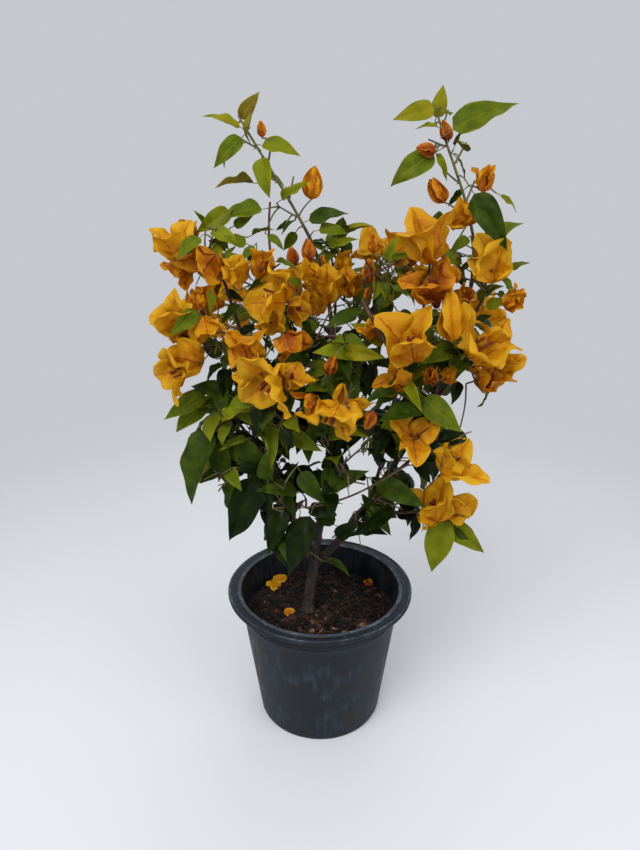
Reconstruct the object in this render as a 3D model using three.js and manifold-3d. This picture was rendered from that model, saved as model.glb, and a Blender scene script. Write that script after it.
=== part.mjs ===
// A bougainvillea bush with orange bracts in a black nursery pot, life size, in millimetres.
// +Z is up and the origin is the centre of the pot's flat underside. -Y is the side that faces the viewer.
// A short trunk forks into three leaders. Boughs branch off them, and each limb ends where a mass begins.
// A mass is one shoot system: a stem that carries on from its limb, twigs along it, leaves and blooms.
import * as THREE from 'three';
import { mergeVertices } from 'three/addons/utils/BufferGeometryUtils.js';
import Module from 'manifold-3d';

const wasm = await Module();
wasm.setup();

const vec = (x, y, z) => new THREE.Vector3(x, y, z);
const UP = vec(0, 0, 1);
const BACK = vec(0, 1, 0);
// The light that leaves turn their faces to comes from above and in front.
const LIGHT = vec(0, -0.6, 1);
const CLEARANCE = 0.3;
// Two points of a fused solid stay further apart than this, so that none meet when they are rounded.
const POINT_GRID = 0.002;

const POT = {
  height: 153,
  baseRadius: 67.5,
  wallTopRadius: 88,
  wall: 2,
  floor: 3,
  lipRadius: 100,
  lipThickness: 2.2,
  lipDrop: 5,
  lipEdge: 1,
  sides: 36,
};
const SOIL = { level: 126, edgeLevel: 122, flatRadius: 34, sides: 24 };

// Trunk, leaders and boughs. Each is one tapering limb: it leaves its parent at the point `at` of the
// parent's curve, from 0 at the foot to 1 at the tip, and ends at its own tip. The trunk and the leaders
// have two stated bends, and the boughs turn out of their parent's direction.
const TRUNK = {
  name: 'trunk',
  foot: vec(-13, -8, SOIL.level + CLEARANCE),
  bends: [vec(-13, -8, 143), vec(-9, -4, 162)],
  tip: vec(-6, -2, 182),
  radii: [6.6, 5.4],
  flare: 3.2,
  sides: 8,
  steps: 4,
};
const LEADER = { parent: 'trunk', at: 0.94, sides: 6, steps: 8 };
const LEADERS = [
  { name: 'leader_right', bends: [vec(46, 2, 226), vec(164, 6, 424)], tip: vec(138, 0, 525),
    radii: [4.4, 2.0] },
  { name: 'leader_centre', bends: [vec(8, 10, 290), vec(34, 6, 440)], tip: vec(-14, 0, 529),
    radii: [4.4, 2.0] },
  { name: 'leader_left', bends: [vec(-26, -6, 230), vec(-72, -10, 340)], tip: vec(-49, -8, 432),
    radii: [4.0, 2.0] },
];
const BOUGH = { radii: [2.8, 2.0], sides: 5, steps: 3 };
const BOUGHS = [
  { name: 'bough_left_upper', parent: 'leader_left', at: 0.7, tip: vec(-85, -15, 477) },
  { name: 'bough_left_side', parent: 'leader_left', at: 0.6, tip: vec(-88, -28, 421) },
  { name: 'bough_left_leafy', parent: 'leader_left', at: 0.45, tip: vec(-81, -18, 351) },
  { name: 'bough_left_low', parent: 'leader_left', at: 0.34, tip: vec(-62, -34, 305) },
  { name: 'bough_left_front', parent: 'leader_centre', at: 0.34, tip: vec(-36, -58, 367) },
  { name: 'bough_centre_low', parent: 'leader_centre', at: 0.28, tip: vec(5, -24, 373) },
  { name: 'bough_centre_top', parent: 'leader_centre', at: 0.6, tip: vec(15, 30, 455) },
  { name: 'bough_centre_right', parent: 'leader_centre', at: 0.52, tip: vec(45, -5, 463) },
  { name: 'bough_front', parent: 'leader_centre', at: 0.22, tip: vec(7, -66, 347) },
  { name: 'bough_right_centre', parent: 'leader_right', at: 0.58, tip: vec(93, -32, 459) },
  { name: 'bough_right_upper', parent: 'leader_right', at: 0.64, tip: vec(148, -10, 462) },
  { name: 'bough_right_outer', parent: 'leader_right', at: 0.52, tip: vec(134, -28, 406) },
  { name: 'bough_right_inner', parent: 'leader_right', at: 0.42, tip: vec(78, -32, 397) },
  { name: 'bough_right_low', parent: 'leader_right', at: 0.3, tip: vec(88, -42, 321) },
  { name: 'bough_right_hanging', parent: 'leader_right', at: 0.22, tip: vec(92, -32, 258) },
  { name: 'bough_low_right', parent: 'leader_right', at: 0.12, tip: vec(32, -30, 250) },
  { name: 'bough_low_left', parent: 'leader_left', at: 0.12, tip: vec(-24, -26, 243) },
  { name: 'bough_low_centre', parent: 'leader_centre', at: 0.14, tip: vec(14, -44, 290) },
  { name: 'bough_back_left', parent: 'leader_left', at: 0.5, tip: vec(-73, 60, 406) },
  { name: 'bough_back_centre', parent: 'leader_centre', at: 0.38, tip: vec(-5, 84, 395) },
  { name: 'bough_back_right', parent: 'leader_right', at: 0.48, tip: vec(108, 70, 396) },
  { name: 'bough_back_top', parent: 'leader_centre', at: 0.46, tip: vec(60, 44, 456) },
  { name: 'bough_back_low_left', parent: 'leader_left', at: 0.24, tip: vec(-61, 52, 284) },
  { name: 'bough_back_low_right', parent: 'leader_right', at: 0.26, tip: vec(72, 60, 287) },
];

// What grows on a mass of each kind. spread is the length of its longest twigs, lift how far a twig's end
// rises (or, below 0, hangs) per length and divergence the turn from one twig to the next. The last
// `blooms` twigs end in blooms, and so does the stem if tipBloom says so. Sizes are shares of full size.
const SHOOT = { spread: 20, lift: 0.2, twigs: 6, divergence: 180,
  leavesPerTwig: 1, leafSize: 0.92, droop: 0.7, blooms: 2, bloomSize: 0.5, tipBloom: false };
const FLOWERING = { spread: 32, lift: 0.1, twigs: 5, divergence: 137.5,
  leavesPerTwig: 1, leafSize: 0.75, droop: 0.5, blooms: 4, bloomSize: 1, tipBloom: true };
const LEAFY = { spread: 32, lift: 0, twigs: 5, divergence: 137.5,
  leavesPerTwig: 2, leafSize: 1, droop: 0.9, blooms: 0, bloomSize: 1, tipBloom: false };

// The masses. Each grows on from the tip of `limb` to its own `tip`, and turn is the bearing of its first
// twig round the stem.
const MASSES = [
  { ...SHOOT, name: 'shoot_left_tall', limb: 'leader_centre',
    tip: vec(-64, -6, 612), turn: 90, seed: 11 },
  { ...SHOOT, name: 'shoot_right_tall', limb: 'leader_right',
    tip: vec(103, -4, 614), turn: 90, seed: 12, leafSize: 1, blooms: 3 },
  { ...FLOWERING, name: 'mass_left_upper', limb: 'bough_left_upper',
    tip: vec(-106, -28, 510), turn: 150, seed: 13 },
  { ...FLOWERING, name: 'mass_left_side', limb: 'bough_left_side',
    tip: vec(-108, -50, 430), turn: 60, seed: 14 },
  { ...FLOWERING, name: 'mass_centre_left', limb: 'leader_left',
    tip: vec(-54, -34, 492), turn: 20, seed: 15 },
  { ...LEAFY, name: 'mass_left_leafy', limb: 'bough_left_leafy',
    tip: vec(-84, -40, 358), turn: 160, seed: 16 },
  { ...LEAFY, name: 'mass_left_low', limb: 'bough_left_low',
    tip: vec(-90, -54, 308), turn: 40, seed: 17 },
  { ...FLOWERING, name: 'mass_left_front', limb: 'bough_left_front',
    tip: vec(-43, -90, 418), turn: 20, seed: 18 },
  { ...LEAFY, name: 'mass_centre_low', limb: 'bough_centre_low',
    tip: vec(20, -56, 436), turn: 200, seed: 19, leafSize: 0.8 },
  { ...FLOWERING, name: 'mass_centre_top', limb: 'bough_centre_top',
    tip: vec(11, 36, 502), turn: 90, seed: 20, bloomSize: 0.7, leafSize: 0.65 },
  { ...FLOWERING, name: 'mass_centre_right', limb: 'bough_centre_right',
    tip: vec(54, -14, 494), turn: 0, seed: 21, bloomSize: 0.75, leafSize: 0.65 },
  { ...FLOWERING, name: 'mass_front', limb: 'bough_front',
    tip: vec(21, -108, 390), turn: 10, seed: 22 },
  { ...FLOWERING, name: 'mass_right_centre', limb: 'bough_right_centre',
    tip: vec(93, -56, 510), turn: 120, seed: 23 },
  { ...FLOWERING, name: 'mass_right_upper', limb: 'bough_right_upper',
    tip: vec(136, -34, 500), turn: 150, seed: 24, bloomSize: 0.9 },
  { ...FLOWERING, name: 'mass_right_outer', limb: 'bough_right_outer',
    tip: vec(136, -48, 412), turn: 90, seed: 25 },
  { ...FLOWERING, name: 'mass_right_inner', limb: 'bough_right_inner',
    tip: vec(84, -66, 438), turn: 60, seed: 26 },
  { ...FLOWERING, name: 'mass_right_low', limb: 'bough_right_low',
    tip: vec(111, -68, 340), turn: 210, seed: 27, blooms: 2, leafSize: 0.9 },
  { ...FLOWERING, name: 'mass_right_hanging', limb: 'bough_right_hanging',
    tip: vec(123, -46, 263), turn: 90, seed: 28, blooms: 2, leafSize: 0.9 },
  { ...LEAFY, name: 'mass_low_right', limb: 'bough_low_right',
    tip: vec(62, -64, 294), turn: 30, seed: 29 },
  { ...LEAFY, name: 'mass_low_left', limb: 'bough_low_left',
    tip: vec(-38, -62, 287), turn: 60, seed: 30 },
  { ...LEAFY, name: 'mass_low_centre', limb: 'bough_low_centre',
    tip: vec(22, -86, 336), turn: 60, seed: 31 },
  { ...FLOWERING, name: 'mass_back_left', limb: 'bough_back_left',
    tip: vec(-114, 96, 425), turn: 0, seed: 32, twigs: 6, spread: 36 },
  { ...FLOWERING, name: 'mass_back_centre', limb: 'bough_back_centre',
    tip: vec(-22, 128, 441), turn: 40, seed: 33, twigs: 6, spread: 36 },
  { ...FLOWERING, name: 'mass_back_right', limb: 'bough_back_right',
    tip: vec(142, 112, 420), turn: 80, seed: 34, twigs: 6, spread: 36 },
  { ...FLOWERING, name: 'mass_back_top', limb: 'bough_back_top',
    tip: vec(76, 66, 484), turn: 120, seed: 35 },
  { ...LEAFY, name: 'mass_back_low_left', limb: 'bough_back_low_left',
    tip: vec(-86, 92, 318), turn: 160, seed: 36, spread: 36 },
  { ...LEAFY, name: 'mass_back_low_right', limb: 'bough_back_low_right',
    tip: vec(90, 104, 326), turn: 200, seed: 37, spread: 36 },
];

// A full-size leaf and bract. widest is where the blade is widest, as a share of its length. There its
// edges stand `rise` of its length over the straight line from its root to its tip.
const LEAF = { length: 55, width: 33, widest: 0.4, rise: 0.08, thickness: 1, stalkRadius: 0.35 };
const BRACT = { length: 39, width: 33, widest: 0.5, rise: 0.12, seat: 1.3 };
const BRACTS_PER_BLOOM = 3;
const BRACT_OPENING = { least: 28, most: 52 };

// Where twigs leave their stem and leaves their twig. Angles are in degrees.
const STEM = { tipRadius: 1.4, sides: 4, steps: 3 };
const TWIG = { radii: [1.0, 0.8], sides: 3, steps: 1,
  first: 0.1, last: 0.96, leaving: 50, leavingSpread: 24 };
const LEAVES = { first: 0.34, last: 0.86 };
const STEM_LEAF = { last: 0.98 };
const TIP_TWIG = { length: 12, leafSize: 0.65 };
// What is tried in turn until a piece fits: a leaf's turns round the vertical, and a twig's bloom sizes
// and girths.
const LEAF_TURNS = [0, 35, -35, 70, -70];
const BLOOM_SIZES = [1, 0.8, 0.6];
const GIRTHS = [1, 0.9, 1.1];
// How far a blade's middle may lie beyond the halfway line to another mass's stem, and the number of
// lengths that a stem is measured by for that.
const SPACE_SLACK = 9;
const SPACE_SAMPLES = 6;

// Seeded random numbers from 0 to 1, the same draws on every run.
function seededRandom(seed) {
  let state = seed;
  return () => {
    state = (1664525 * state + 1013904223) % 4294967296;
    return state / 4294967296;
  };
}

const lerp = (a, b, t) => a + (b - a) * t;
const radians = THREE.MathUtils.degToRad;

// The part of a direction that is square to the axis, as a unit vector.
function squareTo(axis, direction) {
  return direction.clone().addScaledVector(axis, -direction.dot(axis)).normalize();
}

// A unit vector square to the axis, at a bearing in degrees from the reference.
function sideways(axis, reference, bearing) {
  const u = squareTo(axis, reference);
  const v = axis.clone().cross(u);
  return u.multiplyScalar(Math.cos(radians(bearing))).addScaledVector(v, Math.sin(radians(bearing)));
}

// Solids and meshes.

function solidOf(geometry) {
  const bare = geometry.clone();
  bare.deleteAttribute('normal');
  bare.deleteAttribute('uv');
  const merged = mergeVertices(bare, 1e-4);
  return new wasm.Manifold(new wasm.Mesh({
    numProp: 3,
    vertProperties: new Float32Array(merged.attributes.position.array),
    triVerts: new Uint32Array(merged.index.array),
  }));
}

function geometryOf(solid) {
  const mesh = solid.getMesh();
  const geometry = new THREE.BufferGeometry();
  geometry.setAttribute('position', new THREE.BufferAttribute(new Float32Array(mesh.vertProperties), 3));
  geometry.setIndex(new THREE.BufferAttribute(new Uint32Array(mesh.triVerts), 1));
  geometry.computeVertexNormals();
  return geometry;
}

function solidFrom(points, triangles) {
  const geometry = new THREE.BufferGeometry().setFromPoints(points);
  geometry.setIndex(triangles.flat());
  return solidOf(geometry);
}

// The largest body of a solid, without any sealed hollow or loose scrap.
function largestBody(solid) {
  return solid.decompose().reduce((best, body) => (body.volume() > best.volume() ? body : best));
}

// The point t of a tube's axis, which runs straight from ring to ring.
function axisPoint({ curve, steps }, t) {
  const ring = Math.min(Math.floor(t * steps), steps - 1);
  return curve.getPoint(ring / steps).lerp(curve.getPoint((ring + 1) / steps), t * steps - ring);
}

// A tube along a curve, whose radius at the point t of the curve is radiusAt(t). Its rings start from
// the reference direction. It closes in a flat end, or in a bloom where one is given.
function tube({ curve, reference, radiusAt, steps, sides, bloom }) {
  const points = [];
  const triangles = [];
  const addRing = (centre, axis, radius) => {
    for (let k = 0; k < sides; k += 1) {
      points.push(centre.clone().addScaledVector(sideways(axis, reference, (360 * k) / sides), radius));
    }
  };
  for (let i = 0; i <= steps; i += 1) {
    const axis = bloom && i === steps ? bloom.axis : curve.getTangent(i / steps);
    addRing(curve.getPoint(i / steps), axis, radiusAt(i / steps));
  }
  for (let i = 0; i < steps; i += 1) {
    for (let k = 0; k < sides; k += 1) {
      const a = i * sides + k;
      const b = i * sides + ((k + 1) % sides);
      triangles.push([a, b, b + sides], [a, b + sides, a + sides]);
    }
  }
  const last = steps * sides;
  for (let k = 1; k < sides - 1; k += 1) {
    triangles.push([0, k + 1, k]);
    if (!bloom) {
      triangles.push([last, last + k, last + k + 1]);
    }
  }
  if (bloom) {
    addBracts(points, triangles, last, bloom);
  }
  return solidFrom(points, triangles);
}

// A bloom's bracts, one grown from each side of a twig's last ring. Their inner faces meet over the
// ring's middle, which stands BRACT.seat above it.
function addBracts(points, triangles, ring, bloom) {
  const middle = points.length;
  points.push(bloom.root.clone().addScaledVector(bloom.axis, BRACT.seat));
  bloom.bracts.forEach((bract, k) => {
    const from = ring + k;
    const to = ring + ((k + 1) % BRACTS_PER_BLOOM);
    const a = points.length;
    points.push(...bladeOutline(bract).reverse());
    triangles.push([middle, from, a], [middle, a, a + 1], [middle, a + 1, a + 2], [middle, a + 2, to]);
    triangles.push([a + 1, a, from], [a + 1, from, to], [a + 1, to, a + 2]);
  });
}

// The left, tip and right points of a blade's outline, seen with its upper face up.
function bladeOutline({ root, direction, normal, length, width, widest, rise }) {
  const side = direction.clone().cross(normal);
  const edge = (across) => root.clone()
    .addScaledVector(direction, widest * length)
    .addScaledVector(side, across * width / 2)
    .addScaledVector(normal, rise * length);
  return [edge(-1), root.clone().addScaledVector(direction, length), edge(1)];
}

// A leaf: four faces round a raised middle, two sides and three faces below. It starts as a three-sided
// stalk whose foot is sunk to the twig's axis.
function leafSolid(leaf) {
  const { root, direction, normal, thickness, stalkRadius } = leaf;
  const [left, tip, right] = bladeOutline(leaf);
  const foot = [0, 120, 240].map((bearing) =>
    root.clone().addScaledVector(sideways(direction, normal, bearing), stalkRadius));
  const middle = left.clone().add(right).multiplyScalar(0.5).addScaledVector(normal, thickness);
  return solidFrom([...foot, left, tip, right, middle],
    [[0, 1, 2], [0, 5, 6], [5, 4, 6], [4, 3, 6], [3, 0, 6],
      [0, 2, 5], [0, 3, 1], [2, 1, 3], [2, 3, 5], [3, 4, 5]]);
}

// Growth. These functions only place stems, twigs, leaves and blooms, and the solids are made from them.

// A curve from start, leaving along heading, that turns to reach end.
function turningCurve(start, heading, end) {
  const run = end.clone().sub(start);
  return new THREE.CubicBezierCurve3(
    start,
    start.clone().addScaledVector(heading, run.length() * 0.35),
    end.clone().addScaledVector(run, -0.3),
    end,
  );
}

// A direction square to the curve's plane, for its rings to start from.
function planeNormal(start, heading, end) {
  const run = end.clone().sub(start).normalize();
  const normal = run.clone().cross(heading);
  return normal.length() > 0.02 ? normal.normalize() : squareTo(run, Math.abs(run.z) > 0.8 ? BACK : UP);
}

function growLeaf(position, tangent, out, mass, random) {
  const size = mass.leafSize * lerp(0.8, 1.12, random());
  const direction = out.clone().multiplyScalar(0.9).addScaledVector(tangent, 0.4);
  direction.z -= mass.droop * lerp(0.5, 1.0, random());
  direction.normalize();
  const outward = vec(position.x, position.y, 0).normalize();
  const normal = squareTo(direction, outward.multiplyScalar(0.7).add(LIGHT));
  return { ...LEAF, root: position, direction, normal,
    length: LEAF.length * size, width: LEAF.width * size };
}

// A bloom opens along the twig and outward from the bush, and its bracts lean out from its axis.
function growBloom(position, tangent, reference, mass, random) {
  const outward = vec(position.x, position.y, 0).normalize();
  const axis = tangent.clone().addScaledVector(outward, 0.5);
  axis.add(vec(random() - 0.5, random() - 0.7, random() - 0.5).multiplyScalar(0.8)).normalize();
  const size = mass.bloomSize * lerp(0.9, 1.12, random());
  const opening = radians(lerp(BRACT_OPENING.least, BRACT_OPENING.most, random()));
  const bracts = [];
  for (let k = 0; k < BRACTS_PER_BLOOM; k += 1) {
    const out = sideways(axis, reference, (360 * (k + 0.5)) / BRACTS_PER_BLOOM);
    bracts.push({ ...BRACT, root: position, length: BRACT.length * size, width: BRACT.width * size,
      direction: axis.clone().multiplyScalar(Math.cos(opening)).addScaledVector(out, Math.sin(opening)),
      normal: axis.clone().multiplyScalar(Math.sin(opening)).addScaledVector(out, -Math.cos(opening)) });
  }
  return { root: position, axis, bracts };
}

// One twig with what grows on it: leaves on alternate sides, and at its end a bloom or a leaf.
function growSpray(base, heading, end, bearing, hasBloom, mass, random, tipLeafSize = 1) {
  const curve = turningCurve(base, heading, end);
  const reference = planeNormal(base, heading, end);
  const leaves = [];
  for (let j = 0; j < mass.leavesPerTwig; j += 1) {
    const t = lerp(LEAVES.first, LEAVES.last, (j + 0.5) / mass.leavesPerTwig);
    const tangent = curve.getTangent(t);
    const out = sideways(tangent, reference, bearing + j * 180 + 60 * (random() - 0.5));
    leaves.push(growLeaf(axisPoint({ ...TWIG, curve }, t), tangent, out, mass, random));
  }
  const tangent = curve.getTangent(1);
  const bloom = hasBloom ? growBloom(end, tangent, reference, mass, random) : undefined;
  if (!hasBloom) {
    const small = { ...mass, leafSize: mass.leafSize * tipLeafSize };
    leaves.push(growLeaf(end, tangent, tangent, small, random));
  }
  return { twig: { ...TWIG, curve, reference, bloom }, leaves };
}

// Everything that one mass holds: its stem, and a spray at each of its nodes.
function growMass(mass, start, heading) {
  const random = seededRandom(mass.seed);
  const curve = turningCurve(start, heading, mass.tip);
  const reference = planeNormal(start, heading, mass.tip);
  const halfStep = 0.5 * (TWIG.last - TWIG.first) / (mass.twigs - 1);
  const sprays = [];
  for (let k = 0; k < mass.twigs; k += 1) {
    const t = lerp(TWIG.first, TWIG.last, k / (mass.twigs - 1));
    const base = axisPoint({ ...STEM, curve }, t);
    const tangent = curve.getTangent(t);
    const bearing = mass.turn + k * mass.divergence + 36 * (random() - 0.5);
    const leaving = radians(TWIG.leaving + TWIG.leavingSpread * (random() - 0.5));
    const length = mass.spread * lerp(1, 0.72, t) * lerp(0.75, 1.2, random());
    const out = sideways(tangent, reference, bearing);
    const heads = tangent.clone().multiplyScalar(Math.cos(leaving)).addScaledVector(out, Math.sin(leaving));
    const end = base.clone().addScaledVector(heads, length).addScaledVector(UP, mass.lift * length);
    sprays.push(growSpray(base, heads, end, 90, k >= mass.twigs - mass.blooms, mass, random));
    const opposite = sideways(tangent, reference, bearing + 180 + 40 * (random() - 0.5));
    const leafAt = axisPoint({ ...STEM, curve }, Math.min(t + halfStep, STEM_LEAF.last));
    sprays.at(-1).stemLeaf = growLeaf(leafAt, tangent, opposite, mass, random);
  }
  const tangent = curve.getTangent(1);
  const root = mass.tip.clone().addScaledVector(tangent, -STEM.tipRadius);
  const end = root.clone().addScaledVector(tangent, TIP_TWIG.length);
  sprays.push(growSpray(root, tangent, end, 0, mass.tipBloom, mass, random, TIP_TWIG.leafSize));
  return { curve, reference, sprays };
}

// Pot and soil.

function lathed(profile, sides) {
  return solidOf(new THREE.LatheGeometry(profile.map(([r, z]) => new THREE.Vector2(r, z)), sides)
    .rotateX(Math.PI / 2));
}

const outerRadiusAt = (z) => lerp(POT.baseRadius, POT.wallTopRadius, z / POT.height);
const innerRadiusAt = (z) => outerRadiusAt(z) - POT.wall;

function makePot() {
  const lipUnder = POT.height - POT.lipThickness;
  return lathed([
    [0, 0],
    [POT.baseRadius, 0],
    [outerRadiusAt(lipUnder), lipUnder],
    [POT.lipRadius - POT.lipThickness, lipUnder],
    [POT.lipRadius - POT.lipThickness, POT.height - POT.lipDrop],
    [POT.lipRadius, POT.height - POT.lipDrop],
    [POT.lipRadius, POT.height - POT.lipEdge],
    [POT.lipRadius - POT.lipEdge, POT.height],
    [innerRadiusAt(POT.height), POT.height],
    [innerRadiusAt(POT.floor), POT.floor],
    [0, POT.floor],
  ], POT.sides);
}

function makeSoil() {
  const foot = POT.floor + CLEARANCE;
  const sideGap = 2 * CLEARANCE;
  return lathed([
    [0, foot],
    [innerRadiusAt(foot) - sideGap, foot],
    [innerRadiusAt(SOIL.edgeLevel) - sideGap, SOIL.edgeLevel],
    [lerp(SOIL.flatRadius, innerRadiusAt(SOIL.edgeLevel), 0.6), lerp(SOIL.level, SOIL.edgeLevel, 0.4)],
    [SOIL.flatRadius, SOIL.level],
    [0, SOIL.level],
  ], SOIL.sides);
}

// Anything that growth keeps clear of: a solid with its box.
const asObstacle = (solid) => ({ solid, box: solid.boundingBox() });

const pot = asObstacle(makePot());
const soil = asObstacle(makeSoil());

// Limbs. Each is cut clear of those before it, which are held a little thicker for that.

const limbs = new Map();

function addLimb({ name, radii, steps, sides, flare = 0 }, curve, reference) {
  const radiusAt = (t) => lerp(radii[0], radii[1], t) + flare * Math.exp(-7 * t);
  const thickened = (gap) => tube({ curve, reference, steps, sides, radiusAt: (t) => radiusAt(t) + gap });
  let solid = thickened(0);
  for (const other of limbs.values()) {
    solid = solid.subtract(other.thickened);
  }
  const limb = asObstacle(largestBody(solid));
  limbs.set(name, { ...limb, curve, endRadius: radii[1], thickened: thickened(1.25 * CLEARANCE) });
}

addLimb(TRUNK, new THREE.CubicBezierCurve3(TRUNK.foot, ...TRUNK.bends, TRUNK.tip), BACK);
for (const leader of LEADERS) {
  const start = limbs.get(LEADER.parent).curve.getPoint(LEADER.at);
  addLimb({ ...LEADER, ...leader }, new THREE.CubicBezierCurve3(start, ...leader.bends, leader.tip), BACK);
}
for (const bough of BOUGHS) {
  const parent = limbs.get(bough.parent).curve;
  const start = parent.getPoint(bough.at);
  const heading = parent.getTangent(bough.at);
  const reference = planeNormal(start, heading, bough.tip);
  addLimb({ ...BOUGH, ...bough }, turningCurve(start, heading, bough.tip), reference);
}

// Masses. All the stems stand first. A twig, leaf or bloom that would leave its mass's space, or come
// within the clearance of a limb, a stem or another mass, is left out.

const stems = new Map();
const masses = new Map();

const boxesMeet = (a, b) => [0, 1, 2].every((i) =>
  a.min[i] <= b.max[i] + CLEARANCE && b.min[i] <= a.max[i] + CLEARANCE);

function isClear(solid, obstacles) {
  const box = solid.boundingBox();
  return obstacles.every((other) =>
    !boxesMeet(box, other.box) || solid.minGap(other.solid, 2 * CLEARANCE) >= CLEARANCE);
}

function straightTaper(radii) {
  return (t) => lerp(radii[0], radii[1], t);
}

function addStem(mass) {
  const limb = limbs.get(mass.limb);
  const heading = limb.curve.getTangent(1);
  const start = limb.curve.getPoint(1).addScaledVector(heading, CLEARANCE);
  const growth = growMass(mass, start, heading);
  const solid = tube({ ...STEM, ...growth, radiusAt: straightTaper([limb.endRadius, STEM.tipRadius]) });
  const others = [...limbs.values(), ...stems.values()].filter((other) => other !== limb);
  if (!isClear(solid, others)) {
    throw new Error(`the stem of ${mass.name} touches another limb or stem`);
  }
  const samples = growth.curve.getPoints(SPACE_SAMPLES);
  stems.set(mass.name, { ...asObstacle(solid), sprays: growth.sprays, samples });
}

function resized(bloom, size) {
  return { ...bloom, bracts: bloom.bracts.map((bract) =>
    ({ ...bract, length: bract.length * size, width: bract.width * size })) };
}

const nearest = (point, samples) => Math.min(...samples.map((sample) => sample.distanceTo(point)));

// Whether a blade's middle lies in the mass's own space: nearer its stem than another mass's stem.
function inOwnSpace({ root, direction, length }, own) {
  const point = root.clone().addScaledVector(direction, length / 2);
  const reach = nearest(point, own.samples) - SPACE_SLACK;
  return [...stems.values()].every((stem) => stem === own || nearest(point, stem.samples) > reach);
}

// Whether a fused solid is one body whose points all stay apart when they are rounded to the grid.
function isSound(solid) {
  const { vertProperties } = solid.getMesh();
  const cells = new Set();
  for (let i = 0; i < vertProperties.length; i += 3) {
    cells.add([0, 1, 2].map((axis) => Math.round(vertProperties[i + axis] / POINT_GRID)).join());
  }
  return cells.size === vertProperties.length / 3 && solid.decompose().length === 1;
}

function massSolid(mass) {
  const own = stems.get(mass.name);
  const standing = [...stems].map(([name, stem]) => masses.get(name) ?? stem);
  const obstacles = [pot, soil, ...limbs.values(), ...standing.filter((other) => other !== own)];
  let body = own.solid;
  // Fuses the first of the candidates that stands clear and joins soundly, and returns it.
  const fuse = (candidates, others) => candidates.find(({ solid }) => {
    const fused = isClear(solid, others) ? body.add(solid) : undefined;
    const fits = fused !== undefined && isSound(fused);
    body = fits ? fused : body;
    return fits;
  });
  const woods = [];
  for (const { twig, leaves, stemLeaf } of own.sprays) {
    const blooms = woods.filter(({ bloom }) => bloom);
    const wood = fuse(twigTries(twig, own), [...obstacles, ...blooms]);
    if (wood) {
      woods.push({ ...asObstacle(wood.solid), bloom: wood.bloom, leaves });
    }
    if (stemLeaf) {
      woods.push({ ...own, leaves: [stemLeaf] });
    }
  }
  const blades = [];
  for (const { solid: wood, leaves } of woods) {
    const others = [...obstacles, ...woods.filter(({ solid }) => solid !== wood)];
    for (const leaf of leaves) {
      const blade = fuse(leafTries(leaf, own), [...others, ...blades]);
      if (blade) {
        blades.push(asObstacle(blade.solid));
      }
    }
  }
  return body;
}

// A twig with its bloom at each size that keeps to the mass's space, and then bare.
function twigTries(twig, own) {
  const sizes = twig.bloom ? BLOOM_SIZES : [];
  const blooming = sizes.map((size) => ({ ...twig, bloom: resized(twig.bloom, size) }));
  const fitting = blooming.filter(({ bloom }) => bloom.bracts.every((bract) => inOwnSpace(bract, own)));
  const kinds = [...fitting, { ...twig, bloom: undefined }];
  return kinds.flatMap((kind) => GIRTHS.map((girth) => {
    const radiusAt = straightTaper(twig.radii.map((radius) => radius * girth));
    return { solid: tube({ ...kind, radiusAt }), bloom: kind.bloom };
  }));
}

// A leaf turned each way that keeps it in the mass's space.
function leafTries(leaf, own) {
  const turned = LEAF_TURNS.map((turn) => {
    const direction = leaf.direction.clone().applyAxisAngle(UP, radians(turn));
    return { ...leaf, direction, normal: squareTo(direction, leaf.normal) };
  });
  return turned.filter((tried) => inOwnSpace(tried, own)).map((tried) => ({ solid: leafSolid(tried) }));
}

MASSES.forEach(addStem);
for (const mass of MASSES) {
  masses.set(mass.name, asObstacle(massSolid(mass)));
}

// The assembly.

const plastic = new THREE.MeshStandardMaterial({ color: 0x262c33, roughness: 0.55 });
const earth = new THREE.MeshStandardMaterial({ color: 0x4a2c1e, roughness: 0.95 });
const bark = new THREE.MeshStandardMaterial({ color: 0x6b5747, roughness: 0.85 });
const foliage = new THREE.MeshStandardMaterial({ color: 0x3f6a1f, roughness: 0.6 });
const blossom = new THREE.MeshStandardMaterial({ color: 0xee9a1c, roughness: 0.7 });

const plant = new THREE.Group();

function addMesh(name, solid, material) {
  const mesh = new THREE.Mesh(geometryOf(solid), material);
  mesh.name = name;
  plant.add(mesh);
}

addMesh('pot', pot.solid, plastic);
addMesh('soil', soil.solid, earth);
for (const [name, limb] of limbs) {
  addMesh(name, limb.solid, bark);
}
for (const { name, tipBloom } of MASSES) {
  addMesh(name, masses.get(name).solid, tipBloom ? blossom : foliage);
}

export default plant;
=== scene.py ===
"""A bougainvillea bush with orange bracts in a black nursery pot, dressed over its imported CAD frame.

Places and sizes are in millimetres in the CAD's frame until a mesh is built, which turns them into metres.
+Z is up and -Y is the side that faces the viewer. The limbs and masses grow by the rule of the part's
source, written again here, and then go on to side twigs, more and smaller leaves, flowers and thorns.
"""

import math
import random
from collections import namedtuple

import bpy
import numpy as np
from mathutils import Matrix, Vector, noise


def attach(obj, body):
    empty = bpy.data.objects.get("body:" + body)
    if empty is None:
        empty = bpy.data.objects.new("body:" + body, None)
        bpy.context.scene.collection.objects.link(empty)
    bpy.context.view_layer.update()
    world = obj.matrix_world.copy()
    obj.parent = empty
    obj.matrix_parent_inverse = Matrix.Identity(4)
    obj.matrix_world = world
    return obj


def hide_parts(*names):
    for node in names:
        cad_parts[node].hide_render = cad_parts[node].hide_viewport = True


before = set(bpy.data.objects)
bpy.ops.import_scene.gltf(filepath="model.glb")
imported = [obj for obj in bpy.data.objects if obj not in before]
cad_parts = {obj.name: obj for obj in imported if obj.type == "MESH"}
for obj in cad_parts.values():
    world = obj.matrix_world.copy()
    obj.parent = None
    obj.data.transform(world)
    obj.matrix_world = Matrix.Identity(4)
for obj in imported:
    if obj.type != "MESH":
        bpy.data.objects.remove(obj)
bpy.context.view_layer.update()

MM = 0.001
UP = np.array([0.0, 0.0, 1.0])
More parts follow.
